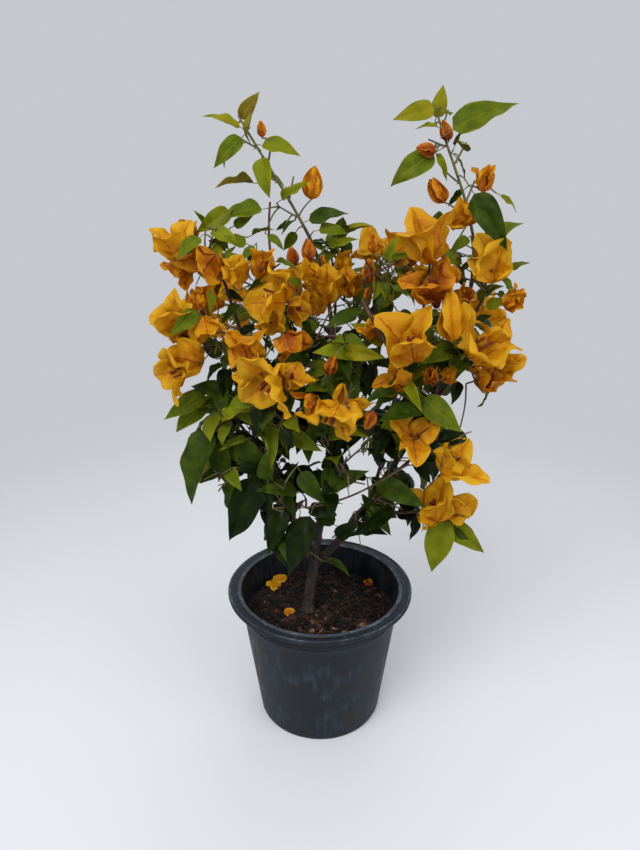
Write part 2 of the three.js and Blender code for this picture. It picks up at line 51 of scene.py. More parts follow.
BACK = np.array([0.0, 1.0, 0.0])
LIGHT = np.array([0.0, -0.6, 1.0])
FACING = np.array([0.0, -1.0, 0.8])

# The limbs and masses, as in the part's source.

TRUNK = {
    "foot": (-13, -8, 126.3),
    "bends": [(-13, -8, 143), (-9, -4, 162)],
    "tip": (-6, -2, 182),
    "radii": (5.2, 4.5),
    "flare": 3.2,
}
LEADER_AT = 0.94
LEADERS = {
    "leader_right": {"bends": [(46, 2, 226), (164, 6, 424)], "tip": (138, 0, 525), "radii": (4.4, 2.0)},
    "leader_centre": {"bends": [(8, 10, 290), (34, 6, 440)], "tip": (-14, 0, 529), "radii": (4.4, 2.0)},
    "leader_left": {"bends": [(-26, -6, 230), (-72, -10, 340)], "tip": (-49, -8, 432), "radii": (4.0, 2.0)},
}
BOUGH_RADII = (2.8, 2.0)
# Each bough's parent, the point of the parent's curve that it leaves, and its tip.
BOUGHS = {
    "bough_left_upper": ("leader_left", 0.7, (-85, -15, 477)),
    "bough_left_side": ("leader_left", 0.6, (-88, -28, 421)),
    "bough_left_leafy": ("leader_left", 0.45, (-81, -18, 351)),
    "bough_left_low": ("leader_left", 0.34, (-62, -34, 305)),
    "bough_left_front": ("leader_centre", 0.34, (-36, -58, 367)),
    "bough_centre_low": ("leader_centre", 0.28, (5, -24, 373)),
    "bough_centre_top": ("leader_centre", 0.6, (15, 30, 455)),
    "bough_centre_right": ("leader_centre", 0.52, (45, -5, 463)),
    "bough_front": ("leader_centre", 0.22, (7, -66, 347)),
    "bough_right_centre": ("leader_right", 0.58, (93, -32, 459)),
    "bough_right_upper": ("leader_right", 0.64, (148, -10, 462)),
    "bough_right_outer": ("leader_right", 0.52, (134, -28, 406)),
    "bough_right_inner": ("leader_right", 0.42, (78, -32, 397)),
    "bough_right_low": ("leader_right", 0.3, (88, -42, 321)),
    "bough_right_hanging": ("leader_right", 0.22, (92, -32, 258)),
    "bough_low_right": ("leader_right", 0.12, (32, -30, 250)),
    "bough_low_left": ("leader_left", 0.12, (-24, -26, 243)),
    "bough_low_centre": ("leader_centre", 0.14, (14, -44, 290)),
    "bough_back_left": ("leader_left", 0.5, (-73, 60, 406)),
    "bough_back_centre": ("leader_centre", 0.38, (-5, 84, 395)),
    "bough_back_right": ("leader_right", 0.48, (108, 70, 396)),
    "bough_back_top": ("leader_centre", 0.46, (60, 44, 456)),
    "bough_back_low_left": ("leader_left", 0.24, (-61, 52, 284)),
    "bough_back_low_right": ("leader_right", 0.26, (72, 60, 287)),
}

# The last four values of each kind are of this script alone: the share of the rule's leaves that it
# keeps, the share of its places that bear a side twig, the share of its blooms that have a smaller one
# beside them, and the look of its wood.
SHOOT = {"spread": 20, "lift": 0.2, "twigs": 6, "divergence": 180, "leaves_per_twig": 1, "leaf_size": 0.92,
         "droop": 0.7, "blooms": 2, "bloom_size": 0.5, "tip_bloom": False,
         "kept_leaves": 0, "side_twigs": 0, "side_blooms": 0, "wood": "green"}
FLOWERING = {"spread": 32, "lift": 0.1, "twigs": 5, "divergence": 137.5, "leaves_per_twig": 1,
             "leaf_size": 0.75, "droop": 0.5, "blooms": 4, "bloom_size": 1, "tip_bloom": True,
             "kept_leaves": 1, "side_twigs": 0.95, "side_blooms": 0.45, "wood": "cane"}
LEAFY = {"spread": 32, "lift": 0, "twigs": 5, "divergence": 137.5, "leaves_per_twig": 2, "leaf_size": 1,
         "droop": 0.9, "blooms": 0, "bloom_size": 1, "tip_bloom": False,
         "kept_leaves": 0.85, "side_twigs": 0.9, "side_blooms": 0, "wood": "cane"}
WIDE = {"twigs": 6, "spread": 36}
# Each mass's kind, limb, tip, the bearing of its first twig, its seed, and what differs from its kind.
MASSES = {
    "shoot_left_tall": (SHOOT, "leader_centre", (-64, -6, 612), 90, 11, {}),
    "shoot_right_tall": (SHOOT, "leader_right", (103, -4, 614), 90, 12, {"leaf_size": 1, "blooms": 3}),
    "mass_left_upper": (FLOWERING, "bough_left_upper", (-106, -28, 510), 150, 13, {}),
    "mass_left_side": (FLOWERING, "bough_left_side", (-108, -50, 430), 60, 14, {}),
    "mass_centre_left": (FLOWERING, "leader_left", (-54, -34, 492), 20, 15, {}),
    "mass_left_leafy": (LEAFY, "bough_left_leafy", (-84, -40, 358), 160, 16, {}),
    "mass_left_low": (LEAFY, "bough_left_low", (-90, -54, 308), 40, 17, {}),
    "mass_left_front": (FLOWERING, "bough_left_front", (-43, -90, 418), 20, 18, {}),
    "mass_centre_low": (LEAFY, "bough_centre_low", (20, -56, 436), 200, 19, {"leaf_size": 0.8}),
    "mass_centre_top": (FLOWERING, "bough_centre_top", (11, 36, 502), 90, 20,
                        {"bloom_size": 0.7, "leaf_size": 0.65}),
    "mass_centre_right": (FLOWERING, "bough_centre_right", (54, -14, 494), 0, 21,
                          {"bloom_size": 0.75, "leaf_size": 0.65}),
    "mass_front": (FLOWERING, "bough_front", (21, -108, 390), 10, 22, {}),
    "mass_right_centre": (FLOWERING, "bough_right_centre", (93, -56, 510), 120, 23, {}),
    "mass_right_upper": (FLOWERING, "bough_right_upper", (136, -34, 500), 150, 24, {"bloom_size": 0.9}),
    "mass_right_outer": (FLOWERING, "bough_right_outer", (136, -48, 412), 90, 25, {}),
    "mass_right_inner": (FLOWERING, "bough_right_inner", (84, -66, 438), 60, 26, {}),
    "mass_right_low": (FLOWERING, "bough_right_low", (111, -68, 340), 210, 27,
                       {"blooms": 2, "leaf_size": 0.9}),
    "mass_right_hanging": (FLOWERING, "bough_right_hanging", (123, -46, 263), 90, 28,
                           {"blooms": 2, "leaf_size": 0.9}),
    "mass_low_right": (LEAFY, "bough_low_right", (62, -64, 294), 30, 29, {}),
    "mass_low_left": (LEAFY, "bough_low_left", (-38, -62, 287), 60, 30, {}),
    "mass_low_centre": (LEAFY, "bough_low_centre", (22, -86, 336), 60, 31, {}),
    "mass_back_left": (FLOWERING, "bough_back_left", (-114, 96, 425), 0, 32, WIDE),
    "mass_back_centre": (FLOWERING, "bough_back_centre", (-22, 128, 441), 40, 33, WIDE),
    "mass_back_right": (FLOWERING, "bough_back_right", (142, 112, 420), 80, 34, WIDE),
    "mass_back_top": (FLOWERING, "bough_back_top", (76, 66, 484), 120, 35, {}),
    "mass_back_low_left": (LEAFY, "bough_back_low_left", (-86, 92, 318), 160, 36, {"spread": 36}),
    "mass_back_low_right": (LEAFY, "bough_back_low_right", (90, 104, 326), 200, 37, {"spread": 36}),
}

# The photograph's camera, in millimetres and in pixels of a frame of 640 by 850.
CAMERA = {"place": (0, -638, 576), "pitch": 20.4, "focal": 680, "middle": (320, 425)}
FRAME_HEIGHT = 850
PITCH = math.radians(CAMERA["pitch"])
# The camera's axes: to the right of its picture, down it, and the way it looks.
CAMERA_AXES = np.array([
    (1, 0, 0), (0, -math.sin(PITCH), -math.cos(PITCH)), (0, math.cos(PITCH), -math.sin(PITCH)),
])

# The leaves that show plainly: the pixel of the blade's foot, the pixel of its tip, how far behind the
# pot's middle its tip lies, and its look, whose greens from deep to light are painted shade and light.
SHOWN_LEAVES = [
    # The tall shoots.
    (240, 128, 203, 114, -14, "young"), (241, 119, 259, 92, 4, "bronze"), (242, 138, 214, 167, -20, "mid"),
    (262, 146, 300, 155, -10, "light"), (262, 158, 269, 198, -22, "light"),
    (254, 184, 216, 186, -8, "bronze"), (282, 200, 312, 182, -14, "light"),
    (309, 221, 348, 210, -6, "dark"), (262, 210, 221, 219, -12, "mid"), (230, 211, 197, 232, -16, "light"),
    (330, 247, 358, 239, -4, "light"), (292, 222, 276, 230, 10, "dark"), (268, 176, 286, 188, 24, "mid"),
    (296, 232, 284, 250, 22, "mid"), (453, 131, 518, 93, -14, "mid"), (436, 118, 444, 84, 0, "young"),
    (434, 109, 394, 119, -10, "young"), (438, 128, 416, 126, -16, "light"),
    (455, 146, 463, 128, 4, "bronze"), (434, 154, 390, 183, -16, "mid"), (436, 154, 449, 180, -14, "light"),
    (474, 194, 507, 248, -64, "dark"), (500, 196, 519, 211, 6, "light"), (456, 158, 470, 178, 26, "mid"),
    (464, 190, 448, 206, 24, "dark"),
    # The left side.
    (200, 238, 177, 259, -60, "mid"), (212, 230, 240, 247, -32, "light"),
    (220, 283, 208, 316, -46, "light"), (204, 228, 196, 210, -20, "mid"), (246, 244, 222, 236, -34, "mid"),
    (252, 236, 274, 229, -22, "dark"), (254, 246, 240, 262, -30, "mid"), (234, 226, 252, 216, -10, "mid"),
    (248, 262, 262, 250, -8, "dark"), (226, 292, 244, 300, -16, "dark"), (197, 312, 171, 332, -80, "mid"),
    (240, 306, 220, 326, -36, "dark"), (266, 281, 247, 289, -44, "dark"), (268, 236, 284, 250, -20, "mid"),
    (276, 262, 298, 270, -24, "mid"), (284, 232, 296, 219, -8, "dark"), (300, 286, 288, 276, -30, "mid"),
    (256, 326, 234, 338, -20, "deep"), (300, 316, 312, 334, -14, "dark"), (272, 350, 262, 336, -24, "dark"),
    (252, 312, 262, 322, -10, "deep"), (205, 392, 165, 419, -52, "mid"), (207, 405, 175, 432, -38, "mid"),
    (214, 431, 190, 503, -62, "dark"), (219, 436, 230, 488, -54, "dark"), (224, 368, 226, 402, -50, "deep"),
    (246, 440, 219, 447, -66, "mid"), (249, 478, 230, 542, -66, "deep"), (262, 478, 268, 518, -72, "deep"),
    (296, 492, 262, 484, -70, "dark"), (270, 427, 271, 468, -92, "mid"), (293, 433, 321, 451, -80, "mid"),
    (338, 430, 326, 468, -70, "deep"), (364, 436, 340, 454, -64, "deep"),
    # The centre.
    (350, 354, 314, 352, -74, "light"), (345, 352, 382, 356, -76, "young"),
    (356, 314, 326, 327, -40, "dark"), (384, 342, 356, 322, -50, "young"),
    (372, 364, 367, 396, -50, "deep"), (352, 372, 322, 388, -66, "dark"), (346, 312, 378, 318, -34, "dark"),
    (318, 344, 300, 356, -50, "deep"), (388, 262, 397, 236, -12, "light"), (392, 259, 416, 253, -20, "mid"),
    (396, 274, 414, 266, -24, "dark"), (392, 286, 410, 296, -30, "mid"), (384, 292, 378, 312, -34, "dark"),
    (362, 300, 350, 316, -10, "deep"), (400, 312, 416, 320, -20, "dark"), (380, 270, 366, 262, -4, "mid"),
    # The right side.
    (454, 348, 424, 359, -66, "mid"), (446, 262, 434, 276, -44, "dark"), (420, 296, 404, 288, -14, "dark"),
    (442, 316, 428, 326, -20, "dark"), (436, 352, 446, 370, -40, "dark"), (468, 238, 450, 252, -30, "mid"),
    (478, 300, 504, 285, -30, "mid"), (486, 306, 510, 300, -36, "light"), (470, 262, 456, 274, -20, "dark"),
    (480, 270, 494, 278, -12, "dark"), (476, 322, 492, 314, -10, "dark"),
    # The front.
    (408, 392, 364, 402, -84, "dark"), (420, 412, 379, 420, -88, "dark"),
    (410, 384, 421, 411, -100, "light"), (424, 398, 461, 432, -84, "mid"),
    # Below, on the right.
    (465, 434, 430, 446, -70, "deep"), (416, 458, 430, 483, -62, "deep"), (376, 482, 425, 506, -78, "dark"),
    (388, 430, 374, 460, -66, "deep"), (446, 520, 428, 574, -56, "light"),
    (447, 519, 484, 553, -46, "light"), (416, 516, 411, 542, -36, "deep"),
    (391, 507, 350, 537, -82, "deep"), (366, 508, 393, 533, -60, "dark"),
    # Below, on the left.
    (281, 504, 269, 554, -70, "deep"), (310, 516, 287, 577, -88, "deep"), (301, 472, 322, 504, -76, "dark"),
    (327, 488, 364, 470, -70, "dark"), (325, 562, 352, 575, -30, "dark"), (336, 536, 358, 524, -50, "deep"),
]
# The blooms that show: the pixel of the bloom's foot, the pixel that its axis points to, how far behind
# the pot's middle the foot lies, how much further the tip does, its opening in degrees, and its tone,
# which is partly its own colour and partly painted shade, lower where it lies in shade.
SHOWN_BLOOMS = [
    # The tall shoots.
    (262, 138, 260, 120, -6, 0, 11, 1), (311, 200, 315, 166, -8, 0, 15, 2),
    (449, 141, 443, 119, -6, 0, 11, 0), (436, 152, 416, 147, -18, 0, 14, 0),
    (445, 203, 429, 177, -12, -2, 15, 1), (485, 192, 485, 162, -8, 0, 19, 2),
    (466, 227, 451, 206, -16, -4, 26, 3), (468, 226, 474, 202, -14, 0, 24, 2),
    # The left side.
    (178, 258, 166, 226, -36, -8, 36, 4), (192, 250, 186, 218, -18, 8, 19, 3),
    (216, 254, 192, 278, -40, -12, 46, 2), (186, 264, 170, 278, -26, 0, 34, 2),
    (232, 284, 236, 254, -44, -6, 27, 4), (262, 278, 262, 247, -38, -4, 22, 2),
    (188, 328, 160, 306, -54, -8, 38, 4), (198, 312, 194, 289, -40, 4, 18, 2),
    (204, 316, 208, 340, -58, -10, 42, 3), (204, 363, 164, 348, -56, -8, 26, 3),
    (187, 368, 160, 380, -64, -14, 46, 4), (190, 336, 168, 326, -44, 6, 32, 3),
    (286, 302, 254, 290, -48, -12, 44, 4), (288, 306, 310, 312, -42, -6, 40, 3),
    (274, 308, 268, 332, -50, -12, 36, 4), (295, 266, 290, 246, -12, 0, 16, 0),
    (309, 262, 309, 238, -10, 0, 16, 0), (318, 279, 301, 264, -16, -4, 24, 3),
    (272, 300, 277, 276, -30, 6, 30, 4), (252, 366, 242, 332, -70, -6, 30, 2),
    (284, 333, 297, 358, -62, -8, 36, 1), (278, 374, 256, 396, -96, -20, 50, 4),
    (286, 388, 298, 366, -84, -4, 36, 3), (262, 384, 240, 368, -80, -6, 36, 4),
    (318, 396, 300, 412, -92, -8, 38, 1),
    # The centre.
    (327, 375, 336, 353, -70, -2, 12, 0), (340, 408, 343, 382, -80, 0, 13, 3),
    (340, 404, 326, 430, -114, -14, 50, 4), (344, 405, 362, 424, -104, -8, 38, 4),
    (374, 411, 366, 429, -100, 0, 15, 0), (328, 304, 326, 266, -6, -4, 22, 3),
    (342, 274, 345, 249, 14, 0, 18, 3), (350, 298, 348, 268, 0, -2, 22, 2),
    (374, 254, 372, 233, -14, 0, 13, 1), (370, 284, 370, 258, -16, 0, 17, 1),
    (369, 301, 368, 286, -20, 0, 12, 0), (376, 336, 366, 322, -50, -4, 34, 2),
    # The right side.
    (432, 264, 424, 211, -60, -14, 26, 3), (436, 301, 422, 268, -64, -8, 34, 1),
    (457, 283, 452, 264, -50, 0, 17, 2), (452, 342, 447, 290, -76, -4, 8, 3),
    (410, 290, 408, 268, -40, 0, 20, 1), (492, 284, 490, 232, -40, -4, 19, 4),
    (506, 310, 521, 286, -34, -4, 22, 2), (470, 300, 460, 284, -30, 0, 22, 1),
    (468, 356, 498, 334, -58, -12, 48, 4), (494, 378, 512, 350, -44, -4, 36, 4),
    (480, 390, 502, 368, -54, -6, 36, 2), (446, 384, 454, 366, -50, 0, 18, 2),
    (494, 352, 492, 318, -40, 0, 30, 4), (414, 362, 408, 316, -80, -8, 34, 3),
    (409, 385, 382, 371, -62, -4, 30, 2), (432, 385, 430, 366, -58, 0, 20, 0),
    (400, 334, 388, 316, -56, 0, 30, 4),
    # Below, on the right.
    (413, 438, 416, 434, -66, -14, 58, 3), (441, 474, 466, 455, -72, -12, 44, 4),
    (436, 522, 430, 486, -54, -4, 28, 4), (446, 516, 466, 494, -48, -4, 34, 4),
    (436, 520, 418, 521, -46, -4, 24, 4),
]
# Stems that show plainly, from their foot up: the pixel and depth of three places, and their radius.
SHOWN_STEMS = [
    ((272, 266, -10), (268, 234, -6), (270, 202, -12), 1.2),
    ((414, 392, -64), (385, 342, -66), (362, 300, -52), 1.9),
    ((306, 508, -56), (352, 499, -72), (409, 464, -76), 1.1),
    ((466, 384, -52), (466, 404, -56), (460, 428, -60), 0.8),
    ((316, 340, -34), (327, 316, -32), (340, 295, -28), 0.8),
]
# The larger patches of backdrop, rim or soil that show through the crown, and their radius in pixels.
SKY_GAPS = [
    (224, 300, 6), (213, 276, 2), (251, 276, 2), (237, 248, 3), (268, 349, 3), (209, 357, 4), (197, 373, 6),
    (230, 381, 3), (328, 318, 6), (345, 328, 3), (309, 283, 3), (389, 273, 3), (464, 231, 3), (456, 247, 4),
    (409, 262, 5), (401, 304, 6), (390, 356, 4), (433, 303, 3), (461, 319, 3), (476, 310, 3), (477, 228, 4),
    (246, 429, 3), (298, 458, 6), (322, 450, 4), (356, 461, 6), (375, 474, 4), (317, 498, 6), (290, 519, 5),
    (309, 519, 3), (346, 509, 6), (364, 492, 5), (327, 534, 3), (243, 478, 4), (218, 488, 9), (252, 508, 4),
    (253, 528, 5), (237, 552, 7), (206, 514, 9), (222, 518, 6), (353, 499, 3), (409, 464, 4), (405, 530, 6),
    (437, 464, 4), (474, 372, 6), (336, 548, 6), (352, 552, 6), (368, 548, 6), (358, 584, 5), (344, 586, 4),
    (324, 584, 3), (461, 412, 6), (442, 400, 3), (433, 542, 6), (461, 552, 6), (390, 547, 6), (191, 345, 2),
    (186, 446, 6),
]

# The source's rule for stems, twigs, leaves and blooms. A pair is a range, and angles are in degrees.
CLEARANCE = 0.3
GOLDEN_ANGLE = 137.5
LEAF = {"length": 55, "size": (0.8, 1.12), "droop": (0.5, 1.0)}
BRACT = {"length": 39, "size": (0.9, 1.12), "opening": (16, 44)}
STEM_TIP_RADIUS = 1.4
STEM_LEAVES = {"last": 0.98, "turn": 40}
TWIG = {"radii": (1.0, 0.7), "first": 0.1, "last": 0.96, "turn": 36, "leaving": 50, "leaving_turn": 24,
        "upper_length": 0.72, "length": (0.75, 1.2), "leaves": (0.34, 0.86), "leaf_turn": 60}
TIP_TWIG = {"length": 12, "leaf_size": 0.65}

# How many sides each kind of wood has.
SIDES = {"stem": 9, "shown_stem": 8, "twig": 7, "side_twig": 6}
# What grows here beyond the source's rule. Wood is slimmer than the solids are.
SLIM_FOOT = 0.85
SLIM_TIP = 0.68
BOUGH_FLARE = 0.6
LEAF_SHARE = 0.86
BRACT_SHARE = 0.9
# How much each bract differs from an even star of three, and the least that it leans out.
BRACT_TURN = {"bearing": (-14, 14), "opening": (-7, 7), "roll": (-0.3, 0.3), "least": 6}
# A bloom that opens by less than this is still closed.
CLOSED_BELOW = 18
CLOSED_TONES = (0, 1, 1, 2)
OPEN_TONES = (1, 2, 3, 3, 4, 4)
# A leaf that shows is turned about its rib, and its foot has this share of its tip's depth.
SHOWN_LEAF = {"foot_depth": 0.75, "turn": (-34, 34)}
# The twig that joins what shows to the nearest of these places on the wood.
JOINING_TWIG = {"radii": (0.9, 0.6), "samples": (0.1, 0.3, 0.5, 0.7, 0.9, 1.0), "least": 0.5}
# Side twigs at two places of each longer twig, their leaves, and the small leaves of the twig itself.
SIDE_TWIG = {"places": (0.3, 0.62), "least_parent": 18, "length": (9, 20), "radii": (0.7, 0.45),
             "leaves": (0.45, 0.75, 1.0), "leaf_size": (0.5, 0.8), "parent_leaves": (0.35, 0.6)}
SIDE_BLOOM = {"place": 0.6, "length": (9, 17), "size": (0.55, 0.85)}
SPUR = {"spacing": 11, "first": 0.3, "last": 0.97, "length": (4, 14), "radii": (0.8, 0.45),
        "leaves": (0.7, 1.0), "leaf_size": (0.5, 0.9), "droop": 0.6}
THORN_LENGTH = 5
SHARE_OF_STARS = 0.08
# A leaf's stalk, as a share of its whole length.
STALK = 0.16
# How far leaves keep from the pot's lip and wall and over the soil, and how they are turned up to do so.
LEAF_ROOM = {"lip": 4, "wall": 12, "soil": 8, "turns": 6, "turn": 0.35}
# How far the rule's leaves keep from a bloom, and in the picture from a bloom and from a leaf that shows,
# as shares of their lengths. They are tested at these places along them.
SHOWN_ROOM = {"bloom": 0.55, "seen_bloom": 0.33, "seen_leaf": 0.2, "tests": (0.25, 0.45, 0.65, 0.85)}

# The crown's middle, the radius that lies in shade, where leaves are painted darker, and the heights at
# which its leaves change their looks, from painted shade below to painted light on the tops.
CROWN = {"middle": 20, "shade_radius": 75, "tops": 560, "upper": 440, "lower": 330}

POT = {"height": 153, "base_radius": 67.5, "top_radius": 88, "wall": 2, "lip_radius": 100, "lip_drop": 5}
# How far the pot gives from round, to an oval and to five soft corners, as shares of its radius.
OUT_OF_TRUE = {"oval": 0.0035, "five": 0.0016}
SOIL = {"level": 126, "edge_level": 122, "flat_radius": 34, "sunk": 2.2, "lumps": 2.4, "bottom": 6}
CHIPS = {"number": 1700, "shapes": 10, "sizes": (2.5, 3, 4, 5.5, 8), "from_wall": 3, "from_trunk": 9,
         "with_fibre_below": 2.7}
# The chips lie dark behind, and redder and paler at the front: how often each look is dealt there.
FRONT_CHIPS = {"chip_red": 5, "chip_brown": 5, "chip_dark": 3, "chip_tan": 1.6}
BACK_CHIPS = {"chip_red": 1.2, "chip_brown": 7, "chip_dark": 8, "chip_tan": 0.25}
CHIPS_TURN_DARK = -6
# The place, length and tone of each bract that lies on the soil.
FALLEN = [((-54, 40), 22, 4), ((-47, 51), 20, 3), ((-33, -16), 13, 2), ((56, 44), 15, 0)]

rng = random.Random(4064)

Limb = namedtuple("Limb", "curve radii flare")
Branch = namedtuple("Branch", "curve radii sides look")
Leaf = namedtuple("Leaf", "root direction normal length look", defaults=[None])
Bloom = namedtuple("Bloom", "root axis bracts closed tone")
Bract = namedtuple("Bract", "root direction normal length")


# Directions and curves.

def unit(v):
    return v / np.linalg.norm(v)


def lerp(a, b, t):
    return a + (b - a) * t


def square_to(axis, direction):
    """The part of a direction that is square to the axis, as a unit vector."""
    return unit(direction - axis * np.dot(direction, axis))


def sideways(axis, reference, bearing):
    """A unit vector square to the axis, at a bearing in degrees from the reference."""
    u = square_to(axis, reference)
    angle = math.radians(bearing)
    return u * math.cos(angle) + np.cross(axis, u) * math.sin(angle)


def outward(place):
    """The level direction from the pot's axis to a place."""
    return unit(np.array([place[0], place[1], 0.0]))


class Bezier:
    """A cubic curve whose points are read by its own parameter, from 0 to 1."""

    def __init__(self, *points):
        self.points = [np.array(p, float) for p in points]

    def point(self, t):
        a, b, c, d = self.points
        s = 1 - t
        return a * s**3 + b * 3 * s * s * t + c * 3 * s * t * t + d * t**3

    def tangent(self, t):
        a, b, c, d = self.points
        s = 1 - t
        return unit((b - a) * s * s + (c - b) * 2 * s * t + (d - c) * t * t)

    def length(self):
        steps = [self.point(i / 16) for i in range(17)]
        return sum(np.linalg.norm(b - a) for a, b in zip(steps, steps[1:]))


def turning_curve(start, heading, end):
    """A curve that leaves start along heading and turns to reach end."""
    run = end - start
    return Bezier(start, start + heading * np.linalg.norm(run) * 0.35, end - run * 0.3, end)


def plane_normal(start, heading, end):
    """A direction square to the turning curve's plane."""
    run = unit(end - start)
    normal = np.cross(run, heading)
    if np.linalg.norm(normal) > 0.02:
        return unit(normal)
    return square_to(run, BACK if abs(run[2]) > 0.8 else UP)


def seen_at(column, row, depth):
    """The point that shows at a pixel of the photograph and lies `depth` behind the pot's middle."""
    across, down = (np.array([column, row]) - CAMERA["middle"]) / CAMERA["focal"]
    ray = np.array([across, down, 1]) @ CAMERA_AXES
    return np.array(CAMERA["place"]) + ray * (depth - CAMERA["place"][1]) / ray[1]


def pixel_of(point):
    """The pixel of the photograph at which a point shows."""
    across, down, away = CAMERA_AXES @ (point - np.array(CAMERA["place"]))
    return np.array(CAMERA["middle"]) + CAMERA["focal"] * np.array([across, down]) / away


def seeded_draws(seed):
    """The source's random numbers from 0 to 1."""
    state = seed

    def draw():
        nonlocal state
        state = (1664525 * state + 1013904223) % 4294967296
        return state / 4294967296

    return draw


# Growth. These functions only place things, in the lists of one Growth.

class Growth:
    """What has grown so far."""

    def __init__(self):
        self.branches = []
        self.leaves = []
        self.blooms = []
        self.thorns = []

    def leaf(self, root, direction, normal, length, look=None):
        """Adds a leaf, turned up step by step until it is clear of the pot and soil."""
        for _ in range(LEAF_ROOM["turns"]):
            if all(clears_pot(root + direction * length * share) for share in (0.6, 1)):
                self.leaves.append(Leaf(root, direction, square_to(direction, normal), length, look))
                return
            direction = unit(direction + UP * LEAF_ROOM["turn"])


def clears_pot(point):
    """Whether a point is clear of the pot and the soil."""
    radius = math.hypot(point[0], point[1])
    over_pot = radius < POT["lip_radius"] + LEAF_ROOM["lip"] and point[2] < POT["height"] + LEAF_ROOM["lip"]
    in_wall = radius >= POT["top_radius"] - LEAF_ROOM["wall"]
    in_soil = point[2] <= SOIL["level"] + LEAF_ROOM["soil"]
    return not (over_pot and (in_wall or in_soil))


def grow_leaf(position, tangent, out, mass, draw):
    """A leaf by the source's draws."""
    size = mass["leaf_size"] * lerp(*LEAF["size"], draw())
    direction = out * 0.9 + tangent * 0.4
    direction[2] -= mass["droop"] * lerp(*LEAF["droop"], draw())
    direction = unit(direction)
    normal = square_to(direction, outward(position) * 0.7 + LIGHT)
    return Leaf(position, direction, normal, LEAF["length"] * size)


def grow_bloom(position, tangent, reference, mass, draw):
    """A bloom at a twig's end, by the source's draws. It turns up more than the solid does."""
    wander = np.array([draw() - 0.5, draw() - 0.7, draw() - 0.5])
    axis = unit(tangent * 0.6 + outward(position) * 0.4 + UP * 0.5 + wander)
    length = BRACT["length"] * BRACT_SHARE * mass["bloom_size"] * lerp(*BRACT["size"], draw())
    return three_bracts(position, axis, reference, length, lerp(*BRACT["opening"], draw()))


def three_bracts(position, axis, reference, length, opening, tone=None):
    """Three bracts that lean out from the bloom's axis. Each bract's upper face looks to the axis.

    A tone from 0, reddish, to 4, bright, is dealt out where none is given.
    """
    closed = opening < CLOSED_BELOW
    bracts = []
    for k in range(3):
        out = sideways(axis, reference, 120 * (k + 0.5) + rng.uniform(*BRACT_TURN["bearing"]))
        angle = math.radians(max(BRACT_TURN["least"], opening + rng.uniform(*BRACT_TURN["opening"])))
        direction = axis * math.cos(angle) + out * math.sin(angle)
        normal = axis * math.sin(angle) - out * math.cos(angle)
        roll = np.cross(direction, normal) * rng.uniform(*BRACT_TURN["roll"])
        bracts.append(Bract(position, direction, unit(normal + roll), length))
    if tone is None:
        tone = rng.choice(CLOSED_TONES if closed else OPEN_TONES)
    return Bloom(position, axis, bracts, closed, tone)


def grow_spray(growth, base, heading, end, bearing, has_bloom, mass, draw, tip_leaf_size=1):
    """One twig with its leaves on alternate sides, and a bloom or a leaf at its end."""
    curve = turning_curve(base, heading, end)
    reference = plane_normal(base, heading, end)
    growth.branches.append(Branch(curve, TWIG["radii"], SIDES["twig"], mass["wood"]))
    for j in range(mass["leaves_per_twig"]):
        t = lerp(*TWIG["leaves"], (j + 0.5) / mass["leaves_per_twig"])
        tangent = curve.tangent(t)
        out = sideways(tangent, reference, bearing + j * 180 + TWIG["leaf_turn"] * (draw() - 0.5))
        keep_leaf(growth, grow_leaf(curve.point(t), tangent, out, mass, draw), mass)
    tangent = curve.tangent(1)
    if has_bloom:
        # A bloom is drawn even where it isn't kept, as in the source, so that the draws stay in step.
        bloom = grow_bloom(end, tangent, reference, mass, draw)
        if mass["rule_blooms"]:
            growth.blooms.append(bloom)
    else:
        small = {**mass, "leaf_size": mass["leaf_size"] * tip_leaf_size}
        keep_leaf(growth, grow_leaf(end, tangent, tangent, small, draw), mass)
    grow_side_twigs(growth, curve, reference, has_bloom, mass)


def keep_leaf(growth, leaf, mass):
    """Adds a leaf of the source's rule, or leaves its place open, as the photo shows many."""
    if rng.random() < mass["kept_leaves"]:
        growth.leaf(leaf.root, leaf.direction, leaf.normal, leaf.length * LEAF_SHARE)


def grow_side_twigs(growth, curve, reference, has_bloom, mass):
    """Finer growth on a twig: side twigs with small leaves, and a smaller bloom beside its own."""
    for t in SIDE_TWIG["places"]:
        if curve.length() < SIDE_TWIG["least_parent"] or rng.random() > mass["side_twigs"]:
            continue
        base, heading, side = side_shoot(curve, reference, t, rng.uniform(*SIDE_TWIG["length"]), mass)
        growth.branches.append(Branch(side, SIDE_TWIG["radii"], SIDES["side_twig"], "green"))
        scatter_leaves(growth, side, SIDE_TWIG["leaves"], SIDE_TWIG["leaf_size"], mass)
        growth.thorns.append((base, unit(heading - curve.tangent(t) * 0.4)))
    if has_bloom and mass["rule_blooms"] and rng.random() < mass["side_blooms"]:
        length = rng.uniform(*SIDE_BLOOM["length"])
        _, _, side = side_shoot(curve, reference, SIDE_BLOOM["place"], length, mass)
        growth.branches.append(Branch(side, SIDE_TWIG["radii"], SIDES["side_twig"], "green"))
        length = BRACT["length"] * BRACT_SHARE * mass["bloom_size"] * rng.uniform(*SIDE_BLOOM["size"])
        axis = unit(side.tangent(1) + UP * 0.6)
        opening = rng.uniform(*BRACT["opening"])
        growth.blooms.append(three_bracts(side.point(1), axis, reference, length, opening))
    if has_bloom:
        scatter_leaves(growth, curve, SIDE_TWIG["parent_leaves"], SIDE_TWIG["leaf_size"], mass)


def side_shoot(curve, reference, t, length, mass):
    """Where a side shoot leaves a twig, the way it heads, and its curve."""
    base = curve.point(t)
    tangent = curve.tangent(t)
    out = sideways(tangent, reference, rng.uniform(0, 360))
    heading = unit(tangent * 0.5 + out)
    end = base + heading * length + UP * length * (0.15 - 0.3 * mass["droop"])
    return base, heading, turning_curve(base, heading, end)


